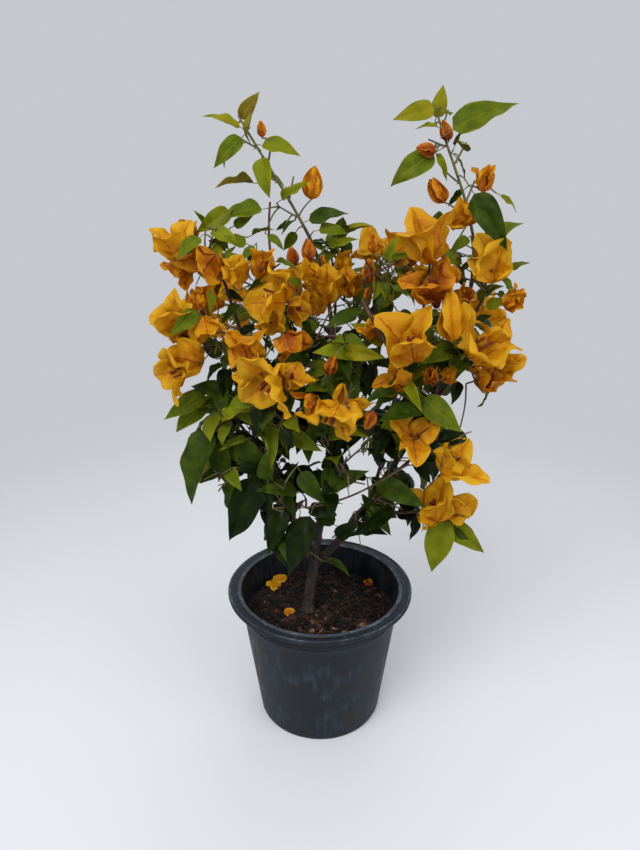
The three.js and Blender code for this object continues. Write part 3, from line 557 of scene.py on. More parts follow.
def scatter_leaves(growth, curve, places, sizes, mass):
    """Small leaves along a curve, each a golden angle round from the one before it."""
    bearing = rng.uniform(0, 360)
    for t in places:
        tangent = curve.tangent(min(t, 0.999))
        out = sideways(tangent, UP if abs(tangent[2]) < 0.9 else BACK, bearing)
        direction = unit(out + tangent * rng.uniform(0.5, 1.0) - UP * mass["droop"] * rng.uniform(0.2, 0.8))
        root = curve.point(t)
        length = LEAF["length"] * mass["leaf_size"] ** 0.5 * rng.uniform(*sizes)
        growth.leaf(root, direction, outward(root) * 0.6 + LIGHT, length)
        bearing += GOLDEN_ANGLE


def grow_mass(growth, name, limbs):
    """Everything that one mass holds, by the source's draws: its stem, and a spray at each of its nodes."""
    kind, limb_name, tip, turn, seed, differences = MASSES[name]
    # In front, the blooms that show take the place of the rule's own.
    mass = {**kind, **differences, "rule_blooms": name.startswith("mass_back")}
    draw = seeded_draws(seed)
    limb = limbs[limb_name]
    heading = limb.curve.tangent(1)
    start = limb.curve.point(1) + heading * CLEARANCE
    tip = np.array(tip, float)
    curve = turning_curve(start, heading, tip)
    reference = plane_normal(start, heading, tip)
    radii = (limb.radii[1], STEM_TIP_RADIUS * SLIM_TIP)
    growth.branches.append(Branch(curve, radii, SIDES["stem"], mass["wood"]))
    half_step = 0.5 * (TWIG["last"] - TWIG["first"]) / (mass["twigs"] - 1)
    for k in range(mass["twigs"]):
        t = lerp(TWIG["first"], TWIG["last"], k / (mass["twigs"] - 1))
        base = curve.point(t)
        tangent = curve.tangent(t)
        bearing = turn + k * mass["divergence"] + TWIG["turn"] * (draw() - 0.5)
        leaving = math.radians(TWIG["leaving"] + TWIG["leaving_turn"] * (draw() - 0.5))
        length = mass["spread"] * lerp(1, TWIG["upper_length"], t) * lerp(*TWIG["length"], draw())
        out = sideways(tangent, reference, bearing)
        twig_heading = tangent * math.cos(leaving) + out * math.sin(leaving)
        end = base + twig_heading * length + UP * mass["lift"] * length
        has_bloom = k >= mass["twigs"] - mass["blooms"]
        grow_spray(growth, base, twig_heading, end, 90, has_bloom, mass, draw)
        opposite = sideways(tangent, reference, bearing + 180 + STEM_LEAVES["turn"] * (draw() - 0.5))
        position = curve.point(min(t + half_step, STEM_LEAVES["last"]))
        keep_leaf(growth, grow_leaf(position, tangent, opposite, mass, draw), mass)
        growth.thorns.append((base, unit(out + tangent * 0.3)))
    tangent = curve.tangent(1)
    root = tip - tangent * STEM_TIP_RADIUS
    end = root + tangent * TIP_TWIG["length"]
    grow_spray(growth, root, tangent, end, 0, mass["tip_bloom"], mass, draw, TIP_TWIG["leaf_size"])


def grow_shown(growth, limbs):
    """The leaves and blooms that show plainly, each on a fine twig from the nearest wood."""
    curves = [branch.curve for branch in growth.branches] + [limb.curve for limb in limbs.values()]
    wood = [(curve, t) for curve in curves for t in JOINING_TWIG["samples"]]
    places = np.array([curve.point(t) for curve, t in wood])

    def join_twig(foot, radii=JOINING_TWIG["radii"], look="green"):
        curve, t = wood[np.argmin(np.linalg.norm(places - foot, axis=1))]
        base = curve.point(t)
        run = foot - base
        gap = np.linalg.norm(run)
        if gap > JOINING_TWIG["least"]:
            first_bend = base + curve.tangent(t) * gap * 0.12 + run * 0.25
            second_bend = base + run * 0.7 + UP * gap * 0.08
            twig = Bezier(base, first_bend, second_bend, foot)
            growth.branches.append(Branch(twig, radii, SIDES["side_twig"], look))

    for *pixels, radius in SHOWN_STEMS:
        foot, middle, tip = (seen_at(*pixel) for pixel in pixels)
        join_twig(foot, (radius * 1.1, radius), "cane")
        stem = Bezier(foot, lerp(foot, middle, 0.9), lerp(middle, tip, 0.1), tip)
        growth.branches.append(Branch(stem, (radius, radius * 0.8), SIDES["shown_stem"], "cane"))
    for *pixels, depth, look in SHOWN_LEAVES:
        foot = seen_at(*pixels[:2], depth * SHOWN_LEAF["foot_depth"])
        run = (seen_at(*pixels[2:], depth) - foot) / (1 - STALK)
        root = foot - run * STALK
        join_twig(root)
        normal = sideways(unit(run), FACING, rng.uniform(*SHOWN_LEAF["turn"]))
        growth.leaf(root, unit(run), normal, np.linalg.norm(run), look)
    for *pixels, depth, lean, opening, tone in SHOWN_BLOOMS:
        foot = seen_at(*pixels[:2], depth)
        run = seen_at(*pixels[2:], depth + lean) - foot
        length = np.linalg.norm(run) / math.cos(math.radians(opening))
        axis = unit(run)
        reference = sideways(axis, -BACK if abs(axis[1]) < 0.8 else UP, rng.choice((0, 60)))
        join_twig(foot)
        growth.blooms.append(three_bracts(foot, axis, reference, length, opening, tone))


def grow_limbs():
    """The trunk, leaders and boughs by name, in the order in which they branch."""
    trunk = Bezier(TRUNK["foot"], *TRUNK["bends"], TRUNK["tip"])
    limbs = {"trunk": Limb(trunk, TRUNK["radii"], TRUNK["flare"])}
    fork = trunk.point(LEADER_AT)
    for name, leader in LEADERS.items():
        foot, tip = leader["radii"]
        limbs[name] = Limb(Bezier(fork, *leader["bends"], leader["tip"]), (foot, tip * SLIM_TIP), 0)
    for name, (parent, at, tip) in BOUGHS.items():
        parent_curve = limbs[parent].curve
        curve = turning_curve(parent_curve.point(at), parent_curve.tangent(at), np.array(tip, float))
        limbs[name] = Limb(curve, (BOUGH_RADII[0] * SLIM_FOOT, BOUGH_RADII[1] * SLIM_TIP), BOUGH_FLARE)
    return limbs


def grow_spurs(growth, limb):
    """Short leafy spurs along a limb, above its bare foot."""
    count = int(limb.curve.length() * (1 - SPUR["first"]) / SPUR["spacing"])
    mass = {"leaf_size": 1, "droop": SPUR["droop"]}
    for k in range(count):
        t = lerp(SPUR["first"], SPUR["last"], (k + rng.random()) / count)
        base = limb.curve.point(t)
        tangent = limb.curve.tangent(t)
        out = sideways(tangent, BACK, rng.uniform(0, 360))
        heading = unit(out + tangent * 0.4)
        end = base + heading * (limb.radii[0] + rng.uniform(*SPUR["length"]))
        spur = turning_curve(base, heading, end)
        growth.branches.append(Branch(spur, SPUR["radii"], SIDES["side_twig"], "cane"))
        scatter_leaves(growth, spur, SPUR["leaves"], SPUR["leaf_size"], mass)
        growth.thorns.append((base, unit(out + tangent * 0.5)))


def open_leaves(growth):
    """The leaves that show, and the others that neither hide what shows, close a gap nor enter a bloom."""
    lengths = np.array([bloom.bracts[0].length for bloom in growth.blooms])
    centres = np.array([bloom.root for bloom in growth.blooms])
    centres += np.array([bloom.axis for bloom in growth.blooms]) * lengths[:, None] * 0.5
    reaches = lengths * SHOWN_ROOM["bloom"]
    shown = [(leaf.root + leaf.direction * leaf.length * 0.55, leaf.length * SHOWN_ROOM["seen_leaf"])
             for leaf in growth.leaves if leaf.look]
    shown += list(zip(centres, lengths * SHOWN_ROOM["seen_bloom"]))
    kept_open = [(*pixel_of(place), radius, place[1]) for place, radius in shown]
    kept_open += [(column, row, radius, math.inf) for column, row, radius in SKY_GAPS]
    kept_open = np.array(kept_open)

    def is_clear(leaf):
        for share in SHOWN_ROOM["tests"]:
            place = leaf.root + leaf.direction * leaf.length * share
            half_width = leaf.length * 0.3 * (1 - abs(share - 0.5))
            away = np.linalg.norm(kept_open[:, :2] - pixel_of(place), axis=1)
            in_the_way = (away < kept_open[:, 2] + half_width * 0.45) & (place[1] < kept_open[:, 3])
            if in_the_way.any() or (np.linalg.norm(centres - place, axis=1) < reaches).any():
                return False
        return True

    return [leaf for leaf in growth.leaves if leaf.look or is_clear(leaf)]


# Materials.

def add_node(tree, kind, inputs, **settings):
    """A shader node. Each of its inputs takes a value, or the output that feeds it."""
    node = tree.nodes.new("ShaderNode" + kind)
    for name, value in settings.items():
        setattr(node, name, value)
    for name, value in inputs.items():
        if isinstance(value, bpy.types.NodeSocket):
            tree.links.new(value, node.inputs[name])
        else:
            node.inputs[name].default_value = value
    return node


def math_node(tree, operation, *values):
    return add_node(tree, "Math", dict(enumerate(values)), operation=operation).outputs["Value"]


def stretched_noise(tree, scale, stretch=(1, 1, 1), detail=4):
    """A noise in the object's own coordinates."""
    place = add_node(tree, "TexCoord", {}).outputs["Object"]
    stretched = add_node(tree, "Mapping", {"Vector": place, "Scale": stretch}).outputs["Vector"]
    inputs = {"Vector": stretched, "Scale": scale, "Detail": detail}
    return add_node(tree, "TexNoise", inputs).outputs["Fac"]


def ramp_between(tree, factor, stops):
    """A colour ramp of (position, colour) stops."""
    ramp = add_node(tree, "ValToRGB", {"Fac": factor})
    elements = ramp.color_ramp.elements
    while len(elements) < len(stops):
        elements.new(0.5)
    for element, (position, colour) in zip(elements, stops):
        element.position = position
        element.color = (*colour, 1)
    return ramp.outputs["Color"]


def shader_material(name, roughness, bump=0.2, bump_scale=900, specular=0.5):
    """A material, its node tree and its shader, whose colour is still to be set."""
    material = bpy.data.materials.new(name)
    material.use_nodes = True
    tree = material.node_tree
    shader = tree.nodes["Principled BSDF"]
    shader.inputs["Roughness"].default_value = roughness
    shader.inputs["Specular IOR Level"].default_value = specular
    grain = stretched_noise(tree, bump_scale)
    relief = add_node(tree, "Bump", {"Height": grain, "Strength": bump, "Distance": 0.0006})
    tree.links.new(relief.outputs["Normal"], shader.inputs["Normal"])
    return material, tree, shader


def blend_shaders(tree, share, first, second):
    """Shows a share of the second shader in place of the first."""
    inputs = {"Fac": share, 1: first.outputs["BSDF"], 2: second.outputs["BSDF"]}
    mixed = add_node(tree, "MixShader", inputs).outputs["Shader"]
    tree.links.new(mixed, tree.nodes["Material Output"].inputs["Surface"])


def plain_tints(name, dark, light, roughness, scale=90, glow=0, **settings):
    """Two close tints in soft blotches. glow is the share of light that passes through."""
    material, tree, shader = shader_material(name, roughness, **settings)
    colour = ramp_between(tree, stretched_noise(tree, scale), [(0.35, dark), (0.65, light)])
    tree.links.new(colour, shader.inputs["Base Color"])
    if glow:
        blend_shaders(tree, glow, shader, add_node(tree, "BsdfTranslucent", {"Color": colour}))
    return material


def bark_material(name, dark, light, crack):
    material, tree, shader = shader_material(name, 0.82, bump=0.55, bump_scale=650)
    streaks = stretched_noise(tree, 260, (1, 1, 0.22), 6)
    colour = ramp_between(tree, streaks, [(0.3, crack), (0.45, dark), (0.68, light)])
    tree.links.new(colour, shader.inputs["Base Color"])
    return material


def pot_material(name, bare, film, dust):
    """Black plastic under a thin dust that streaks downward, with fine wandering scuffs."""
    material, tree, shader = shader_material(name, 0.5, bump_scale=420, specular=0.3)
    streaks = stretched_noise(tree, 240, (1, 1, 0.09), 5)
    clouds = stretched_noise(tree, 34, (1, 1, 1.3), 6)
    swirls = stretched_noise(tree, 62, (1, 1, 0.8), 2)
    both = math_node(tree, "MULTIPLY", streaks, clouds)
    # A scuff runs wherever the swirls cross their middle value.
    distance = math_node(tree, "ABSOLUTE", math_node(tree, "SUBTRACT", swirls, 0.5))
    scuff = math_node(tree, "LESS_THAN", distance, 0.006)
    patchy = math_node(tree, "GREATER_THAN", clouds, 0.53)
    drawn_scuff = math_node(tree, "MULTIPLY", scuff, patchy)
    raised = math_node(tree, "MULTIPLY_ADD", drawn_scuff, 0.11, both)
    colour = ramp_between(tree, raised, [(0.17, bare), (0.27, film), (0.42, dust)])
    tree.links.new(colour, shader.inputs["Base Color"])
    ranges = {"From Min": 0.12, "From Max": 0.4, "To Min": 0.42, "To Max": 0.75}
    gloss = add_node(tree, "MapRange", {"Value": both, **ranges})
    tree.links.new(gloss.outputs["Result"], shader.inputs["Roughness"])
    return material


# Each leaf's two tints, its roughness, and the share of light that passes through it.
# deep, dark, mid and light are one green in painted steps from deep shade to full light; young, bronze and
# under are the leaf's own tints.
LEAF_TINTS_AND_PAINTED_SHADES = {
    "deep": ((0.004, 0.009, 0.001), (0.011, 0.020, 0.002), 0.42, 0.08),
    "dark": ((0.019, 0.036, 0.002), (0.047, 0.072, 0.004), 0.46, 0.14),
    "mid": ((0.070, 0.100, 0.003), (0.124, 0.158, 0.005), 0.5, 0.22),
    "light": ((0.155, 0.184, 0.005), (0.215, 0.238, 0.008), 0.54, 0.3),
    "young": ((0.215, 0.200, 0.006), (0.300, 0.265, 0.010), 0.54, 0.32),
    "bronze": ((0.120, 0.085, 0.008), (0.185, 0.145, 0.010), 0.54, 0.25),
    "under": ((0.100, 0.124, 0.012), (0.140, 0.162, 0.018), 0.65, 0.22),
}
# The lighter look of a leaf's rib, which is its own paler colour, and of its margin and tip, where it is a
# painted highlight.
LEAF_RIBS_AND_HIGHLIGHTS = {
    "deep": "deep", "dark": "dark", "mid": "light", "light": "young", "young": "light", "bronze": "young",
}
# Bracts go from the deep orange of their foot to the yellow of their tip by these steps.
BRACT_TINTS = [
    ((0.270, 0.042, 0.008), (0.350, 0.066, 0.008)),
    ((0.410, 0.096, 0.008), (0.490, 0.134, 0.008)),
    ((0.540, 0.172, 0.007), (0.610, 0.216, 0.007)),
    ((0.640, 0.252, 0.006), (0.690, 0.294, 0.006)),
    ((0.690, 0.322, 0.006), (0.725, 0.356, 0.006)),
    ((0.715, 0.376, 0.007), (0.745, 0.410, 0.008)),
    ((0.740, 0.432, 0.012), (0.785, 0.480, 0.016)),
]
BRACT_LOOKS = [f"bract_{k}" for k in range(len(BRACT_TINTS))]
# Bark: its dark and light streaks, and its cracks.
BARK_TINTS = {
    "old": ((0.018, 0.011, 0.008), (0.050, 0.034, 0.026), (0.006, 0.003, 0.002)),
    "worn": ((0.028, 0.016, 0.011), (0.068, 0.042, 0.029), (0.010, 0.005, 0.004)),
    "cane": ((0.058, 0.026, 0.015), (0.110, 0.056, 0.031), (0.028, 0.011, 0.007)),
}
# The pot's plastic: bare, under a film of dust, and where the dust is thick.
POT_TINTS = {
    "pot_plastic": ((0.002, 0.003, 0.006), (0.005, 0.008, 0.014), (0.024, 0.032, 0.046)),
    # The lip's ridge and collar: lighter, partly wear and partly a painted highlight.
    "pot_edge_wear_and_highlight": ((0.014, 0.020, 0.030), (0.042, 0.056, 0.076), (0.130, 0.156, 0.195)),
    # The inside: darker, as painted shade in the pot's hollow.
    "pot_inside_painted_shade": ((0.001, 0.002, 0.003), (0.004, 0.005, 0.008), (0.011, 0.014, 0.019)),
}
CHIP_TINTS = {
    "chip_red": ((0.018, 0.006, 0.004), (0.080, 0.026, 0.014)),
    "chip_brown": ((0.004, 0.002, 0.001), (0.013, 0.005, 0.003)),
    "chip_dark": ((0.002, 0.001, 0.001), (0.006, 0.004, 0.003)),
    "chip_tan": ((0.090, 0.044, 0.026), (0.210, 0.115, 0.070)),
}


def make_looks():
    """Every material by its short name."""
    made = {
        "flower": plain_tints("flower", (0.095, 0.014, 0.005), (0.170, 0.026, 0.007), 0.6),
        "flower_star": plain_tints("flower_star", (0.55, 0.25, 0.04), (0.68, 0.36, 0.07), 0.6),
        "green": plain_tints("twig_green", (0.085, 0.078, 0.016), (0.125, 0.115, 0.026), 0.55),
        "earth": plain_tints("earth", (0.003, 0.0015, 0.001), (0.010, 0.004, 0.003), 0.95, 260, bump=0.8),
        "fibre": plain_tints("fibre", (0.030, 0.014, 0.008), (0.085, 0.042, 0.022), 0.85, 200),
    }
    for name, (dark, light, roughness, glow) in LEAF_TINTS_AND_PAINTED_SHADES.items():
        made[name] = plain_tints("leaf_" + name, dark, light, roughness, glow=glow, specular=0.08)
    for name, tints in zip(BRACT_LOOKS, BRACT_TINTS):
        made[name] = plain_tints(name, *tints, 0.58, glow=0.46, specular=0.2)
    for name, tints in BARK_TINTS.items():
        made[name] = bark_material("bark_" + name, *tints)
    for name, tints in POT_TINTS.items():
        made[name] = pot_material(name, *tints)
    for name, tints in CHIP_TINTS.items():
        made[name] = plain_tints(name, *tints, 0.9, 300, bump=0.7, specular=0.2)
    return made


looks = make_looks()


# Meshes.

class Piece:
    """Triangles of many small shapes, joined into one mesh, each with its own look."""

    def __init__(self, name, slot, replaced, used):
        self.name = name
        self.slot = slot
        self.replaced = replaced
        self.used = used
        self.points = []
        self.corners = []
        self.slots = []
        self.count = 0

    def add(self, points, triangles, names, codes=None):
        """Adds a shape in millimetres. names are its looks, and codes tells which each triangle has."""
        if codes is None:
            codes = np.zeros(len(triangles), int)
        slots = np.array([self.used.index(name) for name in names])
        self.points.append(points)
        self.corners.append(triangles + self.count)
        self.slots.append(slots[codes])
        self.count += len(points)

    def build(self, crease=50):
        """Makes the object, which rides on the part's one body and replaces its CAD nodes."""
        points = np.concatenate(self.points) * MM
        corners = np.concatenate(self.corners)
        mesh = bpy.data.meshes.new(self.name)
        mesh.vertices.add(len(points))
        mesh.vertices.foreach_set("co", points.ravel())
        mesh.loops.add(corners.size)
        mesh.loops.foreach_set("vertex_index", corners.ravel())
        mesh.polygons.add(len(corners))
        mesh.polygons.foreach_set("loop_start", np.arange(len(corners)) * 3)
        mesh.polygons.foreach_set("material_index", np.concatenate(self.slots))
        for name in self.used:
            mesh.materials.append(looks[name])
        mesh.update(calc_edges=True)
        mesh.shade_smooth()
        mesh.set_sharp_from_angle(angle=math.radians(crease))
        obj = bpy.data.objects.new(self.name, mesh)
        bpy.context.scene.collection.objects.link(obj)
        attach(obj, "root")
        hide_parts(*self.replaced)


def grid_triangles(rings, sides):
    """Triangles between rings of points, each ring closed round."""
    triangles = []
    for i in range(rings - 1):
        for j in range(sides):
            a = i * sides + j
            b = i * sides + (j + 1) % sides
            triangles += [(a, b, b + sides), (a, b + sides, a + sides)]
    return triangles


def capped_triangles(rings, sides):
    """The same, closed by one more point at the first ring and one at the last."""
    foot, tip, last = rings * sides, rings * sides + 1, (rings - 1) * sides
    triangles = grid_triangles(rings, sides)
    for j in range(sides):
        k = (j + 1) % sides
        triangles += [(foot, k, j), (tip, last + j, last + k)]
    return triangles


def tube_shape(curve, radius_at, rings, sides, reference, relief=None):
    """A closed tube. relief(along, angle) is how far its surface stands out, as a share of its radius."""
    angles = np.arange(sides) * 2 * math.pi / sides
    length = curve.length()
    points = []
    for i in range(rings):
        t = i / (rings - 1)
        axis = curve.tangent(t)
        u = square_to(axis, reference)
        radius = np.full(sides, radius_at(t))
        if relief:
            radius *= [1 + relief(t * length, angle) for angle in angles]
        ring = np.outer(np.cos(angles) * radius, u) + np.outer(np.sin(angles) * radius, np.cross(axis, u))
        points.append(curve.point(t) + ring)
    points.append([curve.point(0), curve.point(1)])
    return np.concatenate(points), np.array(capped_triangles(rings, sides))


def any_reference(curve):
    """A direction square to a curve, from which its sides are counted."""
    axis = unit(curve.point(1) - curve.point(0))
    return square_to(axis, BACK if abs(axis[2]) > 0.7 else UP)


def drawn(value):
    """A number, or one drawn from a range that a pair gives."""
    return rng.uniform(*value) if isinstance(value, tuple) else value


class Blade:
    """A leaf or bract one unit long, closed all round. It runs along x and its upper face looks to z.

    Its kind gives its bends, which are its slopes at its foot, middle and tip; its fold, which lifts its
    sides to a V; its cup, which rounds them; its wave, which ruffles its margins; its pucker, which dents
    its face; its veins, which quilt it; its twist; its thickness; its outline, as its breadth and its powers
    towards foot and tip; and its rows and columns of points. Each triangle has a code: its level, which by
    the kind's shading rises to the tip and margins and falls on the veins, plus LEVELS on the lower face or
    twice LEVELS on the rib. On leaves the higher levels paint a highlight along the margins and tip; on
    bracts the levels follow their own tone.
    """

    LEVELS = 6
    VEINS = 4.5
    VEIN_SLANT = 1.2

    def __init__(self, kind):
        foot, middle, tip = (drawn(bend) for bend in kind["bends"])
        fold, cup, wave, twist = (drawn(kind[name]) for name in ("fold", "cup", "wave", "twist"))
        phase = rng.uniform(0, 9)
        breadth, to_foot, to_point = kind["outline"]
        c = np.array(kind["columns"])
        along = np.arange(1, kind["rows"]) / kind["rows"]
        angle = foot * (1 - along) * (1 - 2 * along) + middle * 4 * along * (1 - along)
        angle += tip * along * (2 * along - 1)
        flat = np.zeros_like(along)
        spine = np.stack([np.cumsum(np.cos(angle)), flat, np.cumsum(np.sin(angle))], 1) / kind["rows"]
        normal = np.stack([-np.sin(angle), flat, np.cos(angle)], 1)
        s = along[:, None]
        half = breadth * s**to_foot * (1 - s) ** to_point
        width = half * c
        ruffle = np.sin(s * 13 + phase) * c**2 + 0.8 * np.cos(s * 17 + phase) * c**3
        dents = [[noise.noise(Vector((v * 4, w * 2.4, phase))) * (0.3 + abs(w)) for w in c] for v in along]
        dents = np.array(dents)
        across_veins = self.VEINS * s - self.VEIN_SLANT * np.abs(c)
        quilting = np.cos(2 * math.pi * across_veins) * (1 - np.abs(c))
        lift = half * (np.abs(c) * math.sin(fold) + c * c * cup)
        lift += half / half.max() * (wave * ruffle + kind["pucker"] * dents + kind["veins"] * quilting)
        y = width * math.cos(fold) * np.cos(twist * s) - lift * np.sin(twist * s)
        lift = lift * np.cos(twist * s) + width * np.sin(twist * s)
        top = spine[:, None, :] + lift[:, :, None] * normal[:, None, :]
        top[:, :, 1] += y
        under = top - kind["thickness"] * normal[:, None, :]
        end = spine[-1] + np.array([math.cos(angle[-1]), 0, math.sin(angle[-1])]) / kind["rows"]
        faces = top.reshape(-1, 3), under[:, 1:-1].reshape(-1, 3)
        self.points = np.concatenate([*faces, [[0, 0, 0], end]])
        to_tip, to_margin, on_vein = kind["shading"]
        rise = to_tip * s + to_margin * c**2 + on_vein * np.maximum(quilting, 0) + 0.1 * dents
        rise = np.concatenate([rise.ravel(), rise[:, 1:-1].ravel(), [0, 1]])
        self.stitch(len(along), len(c), np.clip(rise, 0, 0.99))

    def stitch(self, rows, columns, rise):
        """Triangles of the upper face, then of the lower face, which shares the margin's points."""
        inner = columns - 2
        base, tip = rows * (columns + inner), rows * (columns + inner) + 1
        rib = columns // 2 - 1

        def upper(i, j):
            return i * columns + j

        def lower(i, j):
            return upper(i, j) if j in (0, columns - 1) else rows * columns + i * inner + j - 1

        triangles, offsets = [], []
        for side, at in enumerate((upper, lower)):
            for j in range(columns - 1):
                strip = [(base, at(0, j + 1), at(0, j)), (tip, at(rows - 1, j), at(rows - 1, j + 1))]
                for i in range(rows - 1):
                    a, b, c, d = at(i, j), at(i, j + 1), at(i + 1, j + 1), at(i + 1, j)
                    strip += [(a, b, c), (a, c, d)]
                if side == 1:
                    strip = [(p, r, q) for p, q, r in strip]
                triangles += strip
                offsets += [self.LEVELS * (2 if j == rib else side)] * len(strip)
        self.triangles = np.array(triangles)
        self.codes = (rise[self.triangles].mean(axis=1) * self.LEVELS).astype(int) + np.array(offsets)

    def placed(self, root, direction, normal, length):
        """The blade's points at its place in the plant."""
        side = np.cross(normal, direction)
        return root + length * (self.points @ np.stack([direction, side, normal]))


LEAF_COLUMNS = (-1, -0.91, -0.6, -0.28, -0.03, 0.03, 0.28, 0.6, 0.91, 1)
BRACT_COLUMNS = (-1, -0.86, -0.62, -0.38, -0.18, -0.05, 0.05, 0.18, 0.38, 0.62, 0.86, 1)
# The kinds of blades, and how many of each are drawn. A pair in "bends" to "twist" is a range.
LEAF_BLADE = {
    "bends": [(0.1, 0.45), (-0.4, 0), (-0.45, -1.35)], "fold": (0.25, 0.7), "cup": (-0.6, -0.1),
    "wave": (0.010, 0.035), "twist": (-0.4, 0.4), "pucker": 0.05, "veins": 0.012, "thickness": 0.007,
    "outline": (0.82, 0.52, 1.22), "rows": 14, "columns": LEAF_COLUMNS, "shading": (0.25, 0.7, 0),
    "number": 12,
}
# The leaves that show are flatter along their length, and slimmer and more folded across.
SHOWN_BLADE = {
    **LEAF_BLADE, "bends": [(0.1, 0.45), (-0.4, 0), (-0.275, -0.825)], "fold": (0.375, 1.05),
    "outline": (0.7544, 0.52, 1.22), "number": 10,
}
BRACT_BLADE = {
    "bends": [(-0.6, -0.2), (-0.05, 0.35), (-0.9, -0.5)], "fold": (0.15, 0.7), "cup": (-0.5, 0.1),
    "wave": (0.04, 0.085), "twist": (-0.4, 0.4), "pucker": 0.17, "veins": 0.014, "thickness": 0.006,
    "outline": (1, 0.46, 0.76), "rows": 16, "columns": BRACT_COLUMNS, "shading": (0.6, 0.55, -0.4),
    "number": 12,
}
FALLEN_BLADE = {**BRACT_BLADE, "bends": [(-0.7, -0.3), (0.1, 0.5), (-0.65, -0.25)]}
BUD_BLADE = {
    "bends": [-0.55, 0.3, 0.5], "fold": (0.1, 0.4), "cup": (0.1, 0.5),
    "wave": 0.02, "twist": (-0.3, 0.3), "pucker": 0.07, "veins": 0.012, "thickness": 0.008,
    "outline": (0.72, 0.5, 0.72), "rows": 12, "columns": BRACT_COLUMNS, "shading": (0.5, 0.5, -0.3),
    "number": 6,
}


def draw_blades(kind):
    """The different blades of one kind, from which each leaf or bract takes one."""
    return [Blade(kind) for _ in range(kind["number"])]


def deal(weights):
    """One of the named looks, by weight."""
    return rng.choices(list(weights), weights=list(weights.values()))[0]


def leaf_tone_and_painted_shade(root):
    """The upper look of a leaf, with painted shade and light: darker greens below and inside, where shade
    falls, and lighter, olive ones on the lit tops.
    """
    height = root[2]
    inside = math.hypot(root[0] - CROWN["middle"], root[1]) < CROWN["shade_radius"]
    if height > CROWN["tops"]:
        return deal({"bronze": 1, "young": 4, "light": 6, "mid": 3})
    if height > CROWN["upper"]:
        return deal({"young": 2, "light": 6, "mid": 6, "dark": 3 if inside else 1})
    if height > CROWN["lower"]:
        return deal({"light": 2.5, "mid": 5, "dark": 6, "deep": 5 if inside else 1.5})
    return deal({"mid": 2, "dark": 4, "deep": 12 if inside else 6})


def add_leaf(piece, leaf, blades):
    """A leaf on its stalk. The blade starts where the stalk ends."""
    blade = rng.choice(blades)
    seat = leaf.root + leaf.direction * leaf.length * STALK + leaf.normal * leaf.length * 0.02
    # A blade that bends reaches less far than it is long.
    points = blade.placed(seat, leaf.direction, leaf.normal, leaf.length * (1 - STALK) * 1.06)
    look = leaf.look or leaf_tone_and_painted_shade(leaf.root)
    edge = LEAF_RIBS_AND_HIGHLIGHTS[look]
    # The two highest levels, at the margins and tip, take the lighter look as a painted highlight; the rib
    # takes it as its paler colour.
    names = [look] * (Blade.LEVELS - 2) + [edge] * 2 + ["under"] * Blade.LEVELS + [edge] * Blade.LEVELS
    piece.add(points, blade.triangles, names, blade.codes)
    stalk = turning_curve(leaf.root, unit(leaf.direction + leaf.normal * 0.5), seat + leaf.direction * 0.8)
    side = np.cross(leaf.direction, leaf.normal)
    piece.add(*tube_shape(stalk, lambda t: 0.5 - 0.12 * t, 4, 4, side), ["green"])


def bract_names(tone):
    """The looks of a bract whose foot has this tone. It grows lighter by up to three steps."""
    last = len(BRACT_LOOKS) - 1
    steps = [min(tone + level * 4 // Blade.LEVELS, last) for level in range(Blade.LEVELS)]
    face = [BRACT_LOOKS[step] for step in steps]
    rib = [BRACT_LOOKS[max(step - 2, 0)] for step in steps]
    return face + face + rib


def add_bloom(bracts, flowers, bloom, blades):
    """Three bracts, and inside them three slender flower tubes side by side."""
    for bract in bloom.bracts:
        blade = rng.choice(blades)
        length = bract.length * rng.uniform(0.94, 1.05)
        points = blade.placed(bract.root, bract.direction, bract.normal, length)
        bracts.add(points, blade.triangles, bract_names(bloom.tone), blade.codes)
        if not bloom.closed:
            add_flower(flowers, bract, bloom.axis)


def add_flower(piece, bract, axis):
    """A flower on the foot of its bract, close to the bloom's axis: in bud, or seldom opened to a star."""
    foot = bract.root + bract.direction * bract.length * 0.06 + bract.normal * 0.8
    lean = unit(bract.direction * 0.2 + axis)
    tip = foot + lean * bract.length * rng.uniform(0.34, 0.5)
    curve = turning_curve(foot, unit(bract.direction + bract.normal * 0.1), tip)
    size = bract.length / BRACT["length"]

    def radius_at(t):
        belly = 0.4 * math.exp(-(((t - 0.25) / 0.2) ** 2))
        bud = 0.5 * math.exp(-(((t - 0.88) / 0.12) ** 2))
        return size * (0.75 + belly + bud)

    piece.add(*tube_shape(curve, radius_at, 9, 6, bract.normal), ["flower"])
    if rng.random() < SHARE_OF_STARS:
        add_star(piece, tip, lean, bract.normal, size)


def add_star(piece, tip, lean, normal, size):
    """The five short lobes of an open flower."""
    side = unit(np.cross(lean, normal))
    other = np.cross(lean, side)
    star = [tip + lean * 0.9 * size]
    for k in range(10):
        reach, height = (2.4, 1.0) if k % 2 == 0 else (1.1, 0.6)
        around = side * math.cos(k * math.pi / 5) + other * math.sin(k * math.pi / 5)
        star.append(tip + (lean * height + around * reach) * size)
    star.append(tip - lean * 0.4 * size)
    rim = [(1 + k, 1 + (k + 1) % 10) for k in range(10)]
    triangles = [(0, a, b) for a, b in rim] + [(11, b, a) for a, b in rim]
    piece.add(np.array(star), np.array(triangles), ["flower_star"])


def add_thorn(piece, root, direction):
    """A small curved thorn."""
    length = THORN_LENGTH * rng.uniform(0.6, 1.1)
    curve = Bezier(root, root + direction * length * 0.4, root + direction * length * 0.9,
                   root + direction * length - UP * length * 0.25)
    piece.add(*tube_shape(curve, lambda t: 0.1 + 0.55 * (1 - t), 5, 5, any_reference(curve)), ["cane"])


